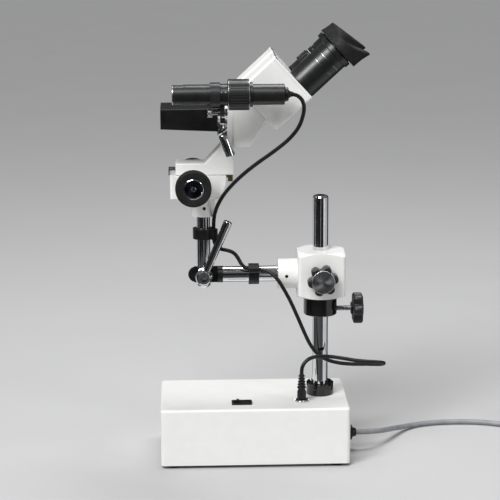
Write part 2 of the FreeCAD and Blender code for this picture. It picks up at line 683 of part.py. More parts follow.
def objective(side):
    """A turned lens barrel with its front lens seat, screwed through the hood's end wall."""
    profile = [(0, 7.4), (0, 9.0), (1.2, 9.4), (26, 9.4), (26, 8.2), (32, 8.2), (32, 7.0), (44, 7.0)]
    profile += [(44, 5.6), (6, 5.6), (6, 7.4)]
    barrel = turned(profile, V(-78, OBJECTIVE_Y * side, OBJECTIVE_HEIGHT), ALONG_X)
    front = V(-78, OBJECTIVE_Y * side, OBJECTIVE_HEIGHT)
    lens = turned([(2.5, 0), (3.4, 7.4), (6.4, 7.4), (6.4, 0)], front, ALONG_X)
    return barrel.fuse(lens)


PLATE_THICKNESS = 3.0
CASE_LOW = -17.9
CASE_HIGH = 46.8
CASE_HALF = 21.0


def eye_y(side):
    return EYE_SPACING / 2 * side


def prism_housing(side):
    """A box that turns on the head's spigot and holds the prisms of one eyepiece."""
    middle_y = eye_y(side)
    low = (CASE_LOW, middle_y - CASE_HALF, -HOUSING_DEPTH)
    high = (CASE_HIGH, middle_y + CASE_HALF, -PLATE_THICKNESS)
    box = rounded(block(low, high), 3.0, lambda e: is_upright(e) or middle(e).z < 1 - HOUSING_DEPTH)
    inner = block(
        (low[0] + WALL, low[1] + WALL, low[2] + WALL),
        (high[0] - WALL, high[1] - WALL, high[2] + 1),
    )
    box = box.cut(inner)
    box = box.cut(rod(V(HINGE_S, HINGE_Y * side, -HOUSING_DEPTH - 5), UP, 9.0 + RUNNING, 10))
    return at_eye(box)


def face_plate(side):
    """The thin cover of a prism box, with the eyepiece tube's hole."""
    middle_y = eye_y(side)
    plate = block(
        (CASE_LOW - 0.5, middle_y - CASE_HALF - 0.4, -PLATE_THICKNESS),
        (CASE_HIGH + 0.5, middle_y + CASE_HALF + 0.4, 0),
    )
    plate = rounded(plate, 3.4, is_upright)
    return at_eye(plate.cut(rod(V(0, middle_y, -10), UP, 12.0, 20)))


def eyepiece_near():
    """The wide eyepiece: tube end in the plate, long barrel, rim and the neck of its eyecup."""
    profile = [(-6, 10.5), (-6, 12.0), (0, 12.0), (0, 18.2), (1.2, 19.0), (31.4, 19.0), (31.4, 18.6)]
    profile += [(32.0, 18.6), (32.0, 19.0), (41.0, 19.0), (41.0, 18.6), (41.6, 18.6), (41.6, 19.0)]
    profile += [(50.0, 19.0), (51.0, 20.4), (56.6, 20.8), (57.6, 17.0), (66.0, 16.6), (66.0, 12.6)]
    profile += [(61.0, 11.6), (58.0, 0), (54.0, 0), (54.0, 10.5)]
    return at_eye(turned(profile, V(0, eye_y(1), 0), UP))


def eyepiece_far():
    """The eyepiece with the dioptre ring: tube, seat of the ring, stepped barrel and neck."""
    profile = [(-6, 10.5), (-6, 12.0), (0, 12.0), (0, 16.2), (14.0, 16.2), (14.0, 15.0), (29.0, 15.0)]
    profile += [(29.0, 17.0), (36.0, 17.0), (36.6, 16.4), (40.0, 16.4), (40.6, 17.2), (50.0, 17.2)]
    profile += [(51.0, 20.4), (56.6, 20.8), (57.6, 17.0), (66.0, 16.6), (66.0, 12.6)]
    profile += [(61.0, 11.6), (58.0, 0), (54.0, 0), (54.0, 10.5)]
    return at_eye(turned(profile, V(0, eye_y(-1), 0), UP))


def diopter_ring():
    """The grooved ring on the far eyepiece, in two halves' width between its shoulders."""
    profile = [(14.4, 15.0 + RUNNING), (14.4, 17.8), (15.2, 18.6), (27.8, 18.6), (28.6, 17.8)]
    profile += [(28.6, 15.0 + RUNNING)]
    ring = turned(profile, V(0, eye_y(-1), 0), UP)
    for i in range(24):
        turn = 2 * math.pi * i / 24
        place = V(18.9 * math.cos(turn), 18.9 * math.sin(turn) + eye_y(-1), 16.4)
        ring = ring.cut(rod(place, UP, 0.8, 10.4))
    return at_eye(ring)


def eyecup(side):
    """A rubber cup whose rim rises on the outer side, as a shade for the eye."""
    profile = [(58.0, 17.2), (58.0, 21.6), (59.0, 22.6), (63.0, 22.8), (72.0, 24.2), (86.0, 27.0)]
    profile += [(86.0, 25.2), (72.0, 21.8), (66.6, 19.6), (66.6, 17.2)]
    cup = turned(profile, V(0, 0, 0), UP)
    cut = block((-60, -60, 0), (60, 60, 40))
    cut.rotate(V(0, 0, 0), ALONG_Y, 12)
    cup = cup.cut(cut.translate(V(0, 0, 78.5)))
    return at_eye(cup.translate(V(0, eye_y(side), 0)))


# ---------------------------------------------------------------- lamp

POST_LOW = V(-27.4, -39.0, 371.6)
POST_HIGH = V(-36.6, -39.0, 398.2)
LAMP_PIN = V(-28.6, 0, 375.0)
PIN_DEPTH = 11.0


def lamp_bracket():
    """The lamp's pillar, its pivot pin into the carriage and the fork on its top."""
    axis = (POST_HIGH - POST_LOW).normalize()
    length = (POST_HIGH - POST_LOW).Length
    outline = [(0, 0), (0, 4.2), (0.9, 5.0), (length - 0.9, 5.0), (length, 4.2), (length, 0)]
    pillar = turned(outline, POST_LOW, axis)
    pin = rod(V(LAMP_PIN.x, POST_LOW.y, LAMP_PIN.z), ALONG_Y, 3.0, PIN_DEPTH - CARRIAGE_HALF - POST_LOW.y)
    reach = LAMP_PIVOT - V(LAMP_PIVOT.x, POST_HIGH.y, POST_HIGH.z)
    lean = reach.normalize()
    foot = V(POST_HIGH.x - 5.5, POST_HIGH.y, POST_HIGH.z - 1)
    end = V(foot.x, LAMP_PIVOT.y, LAMP_PIVOT.z)
    side = lean.cross(ALONG_X) * 4.4
    corners = [foot - side, foot + side, end + side, end - side]
    fork = Part.Face(Part.makePolygon(corners + corners[:1])).extrude(V(11, 0, 0))
    fork = fork.fuse(rod(end, ALONG_X, 5.0, 11))
    fork = fork.fuse(Part.makeSphere(5.6, POST_HIGH + V(0, 0, -0.5)))
    slot_foot = end - lean * 17
    wide = lean.cross(ALONG_X) * 12
    tip = end + lean * 12
    slot = [slot_foot - wide, slot_foot + wide, tip + wide, tip - wide]
    gap = Part.Face(Part.makePolygon(slot + slot[:1])).extrude(V(5.6, 0, 0)).translate(V(2.7, 0, 0))
    fork = fork.cut(gap)
    fork = fork.cut(rod(end - V(5, 0, 0), ALONG_X, 2.0 + RUNNING, 30))
    return pillar.fuse(pin).fuse(fork)


def lamp_clamp():
    """The split ring round the lamp, and the tongue that tilts between the fork's cheeks."""
    left = -50.8
    ring = sleeve(V(left, LAMP.y, LAMP.z), ALONG_X, 14.0, 11.8, 11.4)
    tongue_left = LAMP_PIVOT.x + 2.95
    shelf = LAMP_PIVOT.z + 6.0
    tongue_right = tongue_left + 5.1
    lug = block((-47.5, LAMP.y - 2, shelf), (tongue_right, LAMP.y + 6, LAMP.z - 12.7))
    tongue = block((tongue_left, LAMP.y - 1.4, LAMP_PIVOT.z), (tongue_right, LAMP_PIVOT.y + 4.4, shelf))
    tongue = tongue.fuse(rod(V(tongue_left, LAMP_PIVOT.y, LAMP_PIVOT.z), ALONG_X, 4.4, 5.1))
    clamp = ring.fuse(lug).fuse(tongue)
    clamp = clamp.cut(rod(V(-60, LAMP.y, LAMP.z), ALONG_X, 11.8, 40))
    clamp = clamp.cut(block((left - 1, LAMP.y - 0.8, LAMP.z), (left + 12, LAMP.y + 0.8, LAMP.z + 16)))
    return clamp.cut(rod(V(-60, LAMP_PIVOT.y, LAMP_PIVOT.z), ALONG_X, 2.0 + RUNNING, 40))


def lamp_thumbscrew():
    """A knurled head on the screw that pins and locks the fork."""
    start = V(-53.9, LAMP_PIVOT.y, LAMP_PIVOT.z)
    head = turned([(0, 0), (0, 4.4), (0.7, 5.1), (5.3, 5.1), (6, 4.4), (6, 0)], start, ALONG_X)
    shank = rod(V(-48.5, LAMP_PIVOT.y, LAMP_PIVOT.z), ALONG_X, 2.0, 17.8)
    for i in range(16):
        turn = 2 * math.pi * i / 16
        place = V(-54.5, LAMP_PIVOT.y + 5.3 * math.cos(turn), LAMP_PIVOT.z + 5.3 * math.sin(turn))
        head = head.cut(rod(place, ALONG_X, 0.45, 7))
    return head.fuse(shank)


RING_LEFT = -30.8
RING_RIGHT = -6.1
LAMP_LEFT = -93.5
LAMP_RIGHT = 33.4


def lamp_tube():
    """The lamp's turned body: mouth, waist under the focusing ring, rear tube and end cap."""
    shape = [(LAMP_LEFT, 10.7), (LAMP_LEFT + 0.5, 11.2), (-82.0, 11.2), (-82.0, 10.8), (-81.4, 10.8)]
    shape += [(-81.4, 11.8), (-39.2, 11.8), (-39.2, 12.4), (RING_LEFT - 0.3, 12.4)]
    shape += [(RING_LEFT - 0.3, 13.5), (RING_RIGHT + 0.3, 13.5)]
    shape += [(RING_RIGHT + 0.3, 13.9), (-2.7, 13.9), (-2.7, 11.8), (LAMP_RIGHT - 0.6, 11.8)]
    shape += [(LAMP_RIGHT, 11.2), (LAMP_RIGHT, 7.4), (37.2, 7.4), (37.8, 6.8), (37.8, 0), (30, 0)]
    shape += [(30, 9.0), (-52, 9.0), (-52, 6.4), (-60, 6.4), (-60, 9.6), (LAMP_LEFT, 9.6)]
    return turned([(x, r) for x, r in shape], LAMP, ALONG_X)


def lamp_focus_ring():
    """The wide ring that turns on the lamp's waist, with fine grooves round its rim."""
    profile = [(RING_LEFT, 13.5 + RUNNING), (RING_LEFT, 16.8), (RING_LEFT + 0.8, 17.6)]
    profile += [(RING_RIGHT - 0.8, 17.6), (RING_RIGHT, 16.8), (RING_RIGHT, 13.5 + RUNNING)]
    ring = turned(profile, LAMP, ALONG_X)
    for i in range(36):
        turn = 2 * math.pi * i / 36
        place = LAMP + V(RING_LEFT + 3, 17.8 * math.cos(turn), 17.8 * math.sin(turn))
        ring = ring.cut(rod(place, ALONG_X, 0.55, RING_RIGHT - RING_LEFT - 6))
    return ring


def lamp_bulb():
    """The bulb in its holder behind the lamp's condenser."""
    profile = [(-49, 0), (-48, 2.6), (-45, 4.4), (-41, 4.6), (-37, 3.4), (-35, 3.4), (-35, 6.0)]
    profile += [(-33, 8.9), (-20, 8.9), (-20, 0)]
    return turned(profile, LAMP, ALONG_X)


LAMP_ROUTE = [
    (37.8, -76, 447.2),
    (43.8, -76, 447.2),
    (49.3, -75.8, 444.8),
    (53.6, -75.2, 440.2),
    (55.7, -74.2, 433.8),
    (55.4, -72.6, 424.5),
    (50.8, -69.5, 409),
    (39.5, -64.5, 393.8),
    (21.5, -57, 378.2),
    (2, -47.5, 363),
    (-17.2, -37.5, 345.5),
    (-33, -28, 327),
    (-42.2, -19, 310),
    (-46.2, -11, 295.5),
    (-46.8, -6.6, 283),
    (-46.8, -6.6, 264),
    (-43.9, -6.7, 257.8),
    (-38.4, -6.9, 254),
    (-30.8, -7.4, 252.8),
    (-23, -8.2, 250),
    (-18, -9.4, 243.6),
    (-14, -11.4, 235.6),
    (-7.5, -12.4, 230.5),
    (9.5, -12.4, 230.5),
    (20.5, -16.6, 227.2),
    (29.2, -21.6, 219),
    (36.6, -23, 206.4),
    (43.6, -22.4, 193),
    (51.4, -21.8, 175),
    (59.4, -20.6, 155.6),
    (67, -18.6, 138.4),
    (76, -16.2, 125.8),
    (88, -14.8, 117.6),
    (103.6, -11, 112.4),
    (121, -6.2, 109.6),
    (135.5, -0.8, 108),
    (146.4, 0.8, 107.2),
    (154.4, -5, 108.6),
    (157.3, -14.5, 112.4),
    (154.3, -23.8, 116.2),
    (146.4, -29.4, 118.6),
    (134, -29.8, 119.6),
    (120, -28, 120.6),
    (105.5, -26, 123),
    (90.5, -24.6, 125),
    (77, -25.6, 125.8),
    (68, -29, 125),
    (62.4, -31.4, 122.4),
    (58.4, -33.1, 118.2),
    (SOCKET.x, SOCKET.y, 112.9),
    (SOCKET.x, SOCKET.y, BASE_TOP + PLUG_TOP),
]


def make_parts():
    parts["base_housing"] = base_housing()
    parts["bottom_plate"] = bottom_plate()
    for place, (x, y) in FOOT_PLACES.items():
        parts["rubber_foot_" + place] = rubber_foot(x, y)
    parts["post"] = post()
    parts["post_bolt"] = post_bolt()
    parts["post_flange"] = post_flange()
    parts["transformer_core"] = transformer_core()
    parts["transformer_coil"] = transformer_coil()
    parts["switch_frame"] = switch_frame()
    parts["rocker"] = rocker()
    parts["lamp_socket"] = lamp_socket()
    parts["lamp_plug"] = lamp_plug()
    parts["mains_gland"] = mains_gland()
    parts["mains_cord"] = cord(MAINS_ROUTE, MAINS_RADIUS)
    parts["mains_cord_coil"] = mains_coil()
    parts["mains_cord_tail"] = cord(TAIL_ROUTE, MAINS_RADIUS)
    parts["mains_plug"] = mains_plug()
    parts["stop_collar"] = stop_collar()
    parts["collar_knob"] = collar_knob()
    parts["boom_block"] = boom_block()
    parts["boom_arm"] = boom_arm()
    parts["elbow_piece"] = elbow_piece()
    parts["elbow_bolt"] = elbow_bolt()
    parts["boom_clip"] = boom_clip()
    parts["block_knob"] = block_knob()
    parts["lever_hub"] = lever_hub()
    parts["lever_handle"] = lever_handle()
    parts["tilt_rod"] = tilt_rod()
    parts["rod_clip"] = rod_clip()
    parts["focus_housing"] = focus_housing()
    parts["pinion_shaft"] = pinion_shaft()
    for name, side in (("near", -1), ("far", 1)):
        parts["focus_rail_" + name] = focus_rail(side)
        parts["focus_knob_" + name] = focus_knob(side)
        parts["objective_" + name] = objective(side)
        parts["prism_housing_" + name] = prism_housing(-side)
        parts["face_plate_" + name] = face_plate(-side)
        parts["eyecup_" + name] = eyecup(-side)
    parts["carriage"] = carriage()
    parts["focus_rack"] = focus_rack()
    parts["head_body"] = head_body()
    parts["objective_hood"] = objective_hood()
    parts["eyepiece_near"] = eyepiece_near()
    parts["eyepiece_far"] = eyepiece_far()
    parts["diopter_ring"] = diopter_ring()
    parts["lamp_bracket"] = lamp_bracket()
    parts["lamp_clamp"] = lamp_clamp()
    parts["lamp_thumbscrew"] = lamp_thumbscrew()
    parts["lamp_tube"] = lamp_tube()
    parts["lamp_focus_ring"] = lamp_focus_ring()
    parts["lamp_bulb"] = lamp_bulb()
    parts["lamp_cord"] = cord(LAMP_ROUTE, LAMP_CORD_RADIUS)


CORD_NODES = ("mains_cord", "mains_cord_coil", "mains_cord_tail", "mains_plug", "lamp_cord")


def write_parts():
    os.makedirs("parts", exist_ok=True)
    whole = FreeCAD.BoundBox()
    for name, shape in parts.items():
        shape = shape.removeSplitter()
        if name not in CORD_NODES:
            whole.add(shape.optimalBoundingBox(False, False))
        solid = shape.Solids[0].copy()
        solid.translate(V(-ORIGIN_X, -ORIGIN_Y, 0))
        solid.exportStep("parts/" + name + ".step")
    print("box without leads", whole)
    print("middle", round(whole.Center.x, 3), round(whole.Center.y, 3), "nodes", len(parts))


make_parts()
write_parts()
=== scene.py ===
"""The stereo microscope's looks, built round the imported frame."""

import math

import bmesh
import bpy
from mathutils import Matrix, Vector


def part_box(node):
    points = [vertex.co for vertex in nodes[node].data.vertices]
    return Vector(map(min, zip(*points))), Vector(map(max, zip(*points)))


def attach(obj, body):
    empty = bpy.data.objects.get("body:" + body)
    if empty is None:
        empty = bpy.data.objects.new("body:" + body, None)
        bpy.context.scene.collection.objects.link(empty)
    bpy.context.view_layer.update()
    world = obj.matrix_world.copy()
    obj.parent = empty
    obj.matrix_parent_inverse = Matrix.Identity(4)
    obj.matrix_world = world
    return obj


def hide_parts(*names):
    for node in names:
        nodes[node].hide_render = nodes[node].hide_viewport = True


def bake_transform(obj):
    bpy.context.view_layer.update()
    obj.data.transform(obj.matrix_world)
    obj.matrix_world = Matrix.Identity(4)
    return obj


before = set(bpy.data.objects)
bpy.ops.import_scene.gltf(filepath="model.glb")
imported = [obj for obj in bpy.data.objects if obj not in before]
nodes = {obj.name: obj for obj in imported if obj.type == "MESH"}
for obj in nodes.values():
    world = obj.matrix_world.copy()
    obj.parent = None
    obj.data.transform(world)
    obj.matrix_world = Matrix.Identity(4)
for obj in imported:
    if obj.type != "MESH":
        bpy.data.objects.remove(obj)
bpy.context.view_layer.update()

UP = Vector((0, 0, 1))
ALONG_X = Vector((1, 0, 0))
TO_FRONT = Vector((0, -1, 0))
MM = 0.001
BASE_MIDDLE = Vector((-0.01127, 0.0148, 0))


def spot(x, y, z):
    """A place given in millimetres from the middle of the base's underside."""
    return BASE_MIDDLE + Vector((x, y, z)) * MM


# ---------------------------------------------------------------- camera

CAMERA_PLACE = Vector((-0.09147, -2.0556, 0.7081))
YAW = math.radians(2.12)
PITCH = math.radians(12.44)
ROLL = math.radians(-0.25)

forward = Vector((math.sin(YAW) * math.cos(PITCH), math.cos(YAW) * math.cos(PITCH), -math.sin(PITCH)))
level = Vector((math.cos(YAW), -math.sin(YAW), 0))
upright = level.cross(forward)
across = level * math.cos(ROLL) + upright * math.sin(ROLL)
above = upright * math.cos(ROLL) - level * math.sin(ROLL)
camera = bpy.data.objects.new("camera", bpy.data.cameras.new("camera"))
bpy.context.collection.objects.link(camera)
facing = Matrix((across, above, -forward)).transposed().to_4x4()
camera.matrix_world = Matrix.Translation(CAMERA_PLACE) @ facing
camera.data.lens = 128.15
camera.data.sensor_width = 36
camera.data.clip_end = 30
bpy.context.scene.camera = camera


# ---------------------------------------------------------------- materials


def surface(name, dark, light, rough, scale, relief, edge=0.0, stretch=(1, 1, 1), flecks=0.0, **even):
    """A finish whose tone drifts from dark to light, with patches of gloss and a fine relief.
    scale is the relief's grain per metre, relief its depth in metres, edge the radius that softens
    sharp edges, and even the sockets that are the same all over."""
    material = bpy.data.materials.new(name)
    material.use_nodes = True
    tree = material.node_tree
    shader = tree.nodes["Principled BSDF"]
    for socket, value in even.items():
        shader.inputs[socket.replace("_", " ")].default_value = value
    place = tree.nodes.new("ShaderNodeTexCoord")
    spread = tree.nodes.new("ShaderNodeMapping")
    spread.inputs["Scale"].default_value = stretch
    tree.links.new(place.outputs["Object"], spread.inputs["Vector"])

    def noise(grain, detail):
        node = tree.nodes.new("ShaderNodeTexNoise")
        node.inputs["Scale"].default_value = grain
        node.inputs["Detail"].default_value = detail
        tree.links.new(spread.outputs["Vector"], node.inputs["Vector"])
        return node.outputs["Fac"]

    tone = tree.nodes.new("ShaderNodeValToRGB")
    tone.color_ramp.elements[0].position = 0.3
    tone.color_ramp.elements[1].position = 0.7
    tone.color_ramp.elements[0].color = (*dark, 1)
    tone.color_ramp.elements[1].color = (*light, 1)
    if flecks:
        fleck = tone.color_ramp.elements.new(0.78)
        fleck.color = (*[min(1, c + flecks) for c in light], 1)
    tree.links.new(noise(scale * 0.06, 4), tone.inputs["Fac"])
    tree.links.new(tone.outputs["Color"], shader.inputs["Base Color"])
    gloss = tree.nodes.new("ShaderNodeMapRange")
    gloss.inputs["From Min"].default_value = 0.3
    gloss.inputs["From Max"].default_value = 0.7
    gloss.inputs["To Min"].default_value = rough[0]
    gloss.inputs["To Max"].default_value = rough[1]
    tree.links.new(noise(scale * 0.15, 6), gloss.inputs["Value"])
    tree.links.new(gloss.outputs["Result"], shader.inputs["Roughness"])
    bump = tree.nodes.new("ShaderNodeBump")
    bump.inputs["Strength"].default_value = 0.6
    bump.inputs["Distance"].default_value = relief
    tree.links.new(noise(scale, 3), bump.inputs["Height"])
    tree.links.new(bump.outputs["Normal"], shader.inputs["Normal"])
    if edge:
        bevel = tree.nodes.new("ShaderNodeBevel")
        bevel.samples = 4
        bevel.inputs["Radius"].default_value = edge
        tree.links.new(bevel.outputs["Normal"], bump.inputs["Normal"])
    return material


def brushed(name, dark, light, rough, axis, anisotropy):
    """Turned bare metal: fine rings about the axis and the bright fans that they give."""
    material = surface(name, dark, light, rough, 900, 0.000001, Metallic=1.0, Anisotropic=anisotropy)
    tree = material.node_tree
    tangent = tree.nodes.new("ShaderNodeTangent")
    tangent.direction_type = "RADIAL"
    tangent.axis = axis
    tree.links.new(tangent.outputs["Tangent"], tree.nodes["Principled BSDF"].inputs["Tangent"])
    return material


WHITE = surface(
    "white_powder_coat", (0.725, 0.722, 0.705), (0.75, 0.747, 0.73), (0.4, 0.46), 1500, 0.00006, 0.0007,
    Coat_Weight=0.12, Coat_Roughness=0.25,
)
BLACK = surface(
    "black_satin_enamel", (0.005, 0.005, 0.0055), (0.01, 0.01, 0.0105), (0.28, 0.36), 1800, 0.00003, 0.0005,
    Specular_IOR_Level=0.28,
)
GLOSS_BLACK = surface(
    "black_gloss_enamel", (0.004, 0.004, 0.0045), (0.008, 0.008, 0.0085), (0.1, 0.16), 700, 0.00002, 0.0005,
    Coat_Weight=0.2, Coat_Roughness=0.08,
)
ANODISED = surface(
    "black_anodised_barrel", (0.005, 0.0055, 0.0055), (0.009, 0.0098, 0.0095), (0.31, 0.37), 1500, 0.000004,
    Specular_IOR_Level=0.6,
)
CHROME = surface(
    "polished_chrome", (0.66, 0.67, 0.69), (0.74, 0.75, 0.77), (0.04, 0.08), 500, 0.000001,
    Metallic=1.0,
)
STEEL = surface(
    "bright_steel", (0.5, 0.5, 0.51), (0.6, 0.6, 0.61), (0.2, 0.3), 1500, 0.000006,
    Metallic=1.0,
)
PLASTIC = surface(
    "black_moulded_plastic", (0.006, 0.006, 0.0065), (0.011, 0.011, 0.0115), (0.34, 0.46),
    2600, 0.00003, 0.0004, Specular_IOR_Level=0.3,
)
KNOB_GREY = surface(
    "dark_grey_plastic", (0.011, 0.0115, 0.013), (0.018, 0.0185, 0.021), (0.3, 0.4), 2400, 0.00003, 0.0004,
    Specular_IOR_Level=0.45,
)
RUBBER = surface(
    "matt_black_rubber", (0.007, 0.007, 0.007), (0.014, 0.0138, 0.0135), (0.5, 0.66), 2000, 0.00005, 0.0004,
    flecks=0.006, Specular_IOR_Level=0.22,
)
BRASS = surface(
    "olive_brass", (0.34, 0.28, 0.13), (0.5, 0.42, 0.2), (0.24, 0.4), 1800, 0.00004, 0.0002,
    Metallic=1.0,
)
GREY_SHEATH = surface(
    "grey_cord_sheath", (0.2, 0.205, 0.215), (0.27, 0.275, 0.285), (0.42, 0.56), 1600, 0.00006,
)
BLACK_SHEATH = surface(
    "black_cord_sheath", (0.006, 0.006, 0.0065), (0.011, 0.011, 0.0115), (0.32, 0.44), 1800, 0.00003,
    Specular_IOR_Level=0.32,
)
IRON = surface(
    "varnished_iron", (0.08, 0.075, 0.07), (0.16, 0.15, 0.14), (0.4, 0.6), 1200, 0.00012, 0.0003,
    Metallic=0.7,
)
WINDING = surface(
    "enamelled_copper", (0.4, 0.15, 0.06), (0.56, 0.23, 0.1), (0.25, 0.4), 2400, 0.0002,
    Metallic=0.9,
)
GLASS = surface(
    "coated_glass", (0.012, 0.014, 0.03), (0.03, 0.028, 0.06), (0.02, 0.06), 300, 0.000002,
    Specular_IOR_Level=1.0, Coat_Weight=1.0, Coat_Roughness=0.02,
)
CLEAR_GLASS = surface(
    "bulb_glass", (0.8, 0.82, 0.84), (0.9, 0.92, 0.93), (0.03, 0.1), 300, 0.000005,
    Transmission_Weight=0.85,
)
# White for the small printed dots, and also a painted highlight: the thin ring on the far eyepiece that
# stands in for light on a groove edge.
WHITE_MARK_AND_HIGHLIGHT = surface(
    "white_marking_and_highlight", (0.72, 0.72, 0.7), (0.84, 0.84, 0.82), (0.5, 0.65), 1800, 0.00002,
)
DARK_SCREW = surface(
    "blackened_screw", (0.02, 0.02, 0.022), (0.04, 0.04, 0.042), (0.28, 0.4), 2000, 0.00004, 0.0002,
    Metallic=0.8,
)
DARK_DISC = brushed("blued_disc", (0.05, 0.055, 0.075), (0.09, 0.095, 0.12), (0.16, 0.26), "Y", 0.85)
BRIGHT_CAP = brushed("turned_aluminium", (0.4, 0.41, 0.43), (0.5, 0.51, 0.53), (0.24, 0.32), "Y", 0.9)

SLOT_FINISH = {
    "white_coat": WHITE,
    "black_coat": BLACK,
    "chrome": CHROME,
    "steel": STEEL,
    "black_plastic": PLASTIC,
    "rubber": RUBBER,
    "brass": BRASS,
    "grey_cord": GREY_SHEATH,
    "black_cord": BLACK_SHEATH,
    "iron": IRON,
    "winding": WINDING,
    "bulb_glass": CLEAR_GLASS,
}
NODE_FINISH = {
    "stop_collar": GLOSS_BLACK,
    "post_flange": GLOSS_BLACK,
    "eyepiece_near": ANODISED,
    "eyepiece_far": ANODISED,
    "diopter_ring": ANODISED,
    "lamp_tube": ANODISED,
    "lamp_clamp": KNOB_GREY,
    "lamp_focus_ring": ANODISED,
    "mains_plug": GREY_SHEATH,
    "block_knob": KNOB_GREY,
    "collar_knob": KNOB_GREY,
}


def slot_of(node):
    """The record's material slot that a CAD node names on its own material."""
    return nodes[node].material_slots[0].name.split(".")[0] if nodes[node].material_slots else ""


def coat(item, material):
    item.data.materials.clear()
    item.data.materials.append(material)


for name, item in nodes.items():
    finish = NODE_FINISH.get(name, SLOT_FINISH.get(slot_of(name), PLASTIC))
    if item.material_slots:
        for holder in item.material_slots:
            holder.material = finish
    else:
        coat(item, finish)


# ---------------------------------------------------------------- shape helpers


def basis(axis):
    """A turn that takes local Z to the axis."""
    return axis.normalized().to_track_quat("Z", "Y").to_matrix()


def add_mesh(name, vertices, faces, material, sharp=38):
    mesh = bpy.data.meshes.new(name)
    mesh.from_pydata([tuple(v) for v in vertices], [], faces)
    mesh.validate()
    tidy = bmesh.new()
    tidy.from_mesh(mesh)
    bmesh.ops.recalc_face_normals(tidy, faces=tidy.faces)
    tidy.to_mesh(mesh)
    tidy.free()
    mesh.polygons.foreach_set("use_smooth", [True] * len(mesh.polygons))
    mesh.set_sharp_from_angle(angle=math.radians(sharp))
    item = bpy.data.objects.new(name, mesh)
    bpy.context.collection.objects.link(item)
    mesh.materials.append(material)
    return item


def turned(name, profile, origin, axis, material, steps=96, reach=None, sharp=38):
    """A closed (distance, radius) outline in millimetres, turned about the axis. reach(distance,
    radius, angle) may move each point."""
    turn = basis(axis)
    count = len(profile)
    vertices = []
    for step in range(steps):
        angle = 2 * math.pi * step / steps
        for along, radius in profile:
            if reach:
                along, radius = reach(along, radius, angle)
            point = Vector((radius * math.cos(angle), radius * math.sin(angle), along)) * MM
            vertices.append(origin + turn @ point)
    faces = []
    for step in range(steps):
        a = step * count
        b = (step + 1) % steps * count
        for i in range(count):
            j = (i + 1) % count
            if profile[i][1] < 1e-9 and profile[j][1] < 1e-9:
                continue
            faces.append((a + i, b + i, b + j, a + j))
    item = add_mesh(name, vertices, faces, material, sharp)
    weld = bmesh.new()
    weld.from_mesh(item.data)
    bmesh.ops.remove_doubles(weld, verts=weld.verts, dist=1e-7)
    bmesh.ops.recalc_face_normals(weld, faces=weld.faces)
    weld.to_mesh(item.data)
    weld.free()
    item.data.set_sharp_from_angle(angle=math.radians(sharp))
    return item


def arc(along, radius, size, start, end, steps=6):
    """Points of a rounded corner in a turned outline, from start to end in degrees."""
    turns = [math.radians(start + (end - start) * i / steps) for i in range(steps + 1)]
    return [(along + size * math.cos(t), radius + size * math.sin(t)) for t in turns]


def tube(name, line, radius, material, sides=20):
    """A round tube along a line of points, with closed ends."""
    vertices = []
    side = None
    for i, point in enumerate(line):
        ahead = (line[min(i + 1, len(line) - 1)] - line[max(i - 1, 0)]).normalized()
        if side is None:
            side = ahead.orthogonal().normalized()
        side = (side - ahead * side.dot(ahead)).normalized()
        other = ahead.cross(side)
        for k in range(sides):
            angle = 2 * math.pi * k / sides
            vertices.append(point + (side * math.cos(angle) + other * math.sin(angle)) * radius)
    faces = []
    for i in range(len(line) - 1):
        for k in range(sides):
            n = (k + 1) % sides
            faces.append((i * sides + k, i * sides + n, (i + 1) * sides + n, (i + 1) * sides + k))
    faces.append(tuple(range(sides)))
    faces.append(tuple((len(line) - 1) * sides + k for k in range(sides)))
    return add_mesh(name, vertices, faces, material, 60)


def spline(name, points, radius=0.0):
    """One open NURBS spline with these control points."""
    curve = bpy.data.curves.new(name, "CURVE")
    curve.dimensions = "3D"
    curve.resolution_u = 10
    line = curve.splines.new("NURBS")
    line.points.add(len(points) - 1)
    for held, point in zip(line.points, points):
        held.co = (*point, 1)
    line.order_u = 3
    line.use_endpoint_u = True
    curve.bevel_depth = radius
    curve.bevel_resolution = 6
    curve.use_fill_caps = True
    item = bpy.data.objects.new(name, curve)
    bpy.context.collection.objects.link(item)
    return item


def read_line(item):
    """The points of a spline that has no bevel, in order; the spline is then removed."""
    bpy.context.view_layer.update()
    mesh = bpy.data.meshes.new_from_object(item)
    line = [vertex.co.copy() for vertex in mesh.vertices]
    bpy.data.objects.remove(item)
    return line


def run_length(line):
    return sum((b - a).length for a, b in zip(line, line[1:]))


# ---------------------------------------------------------------- lamp lead

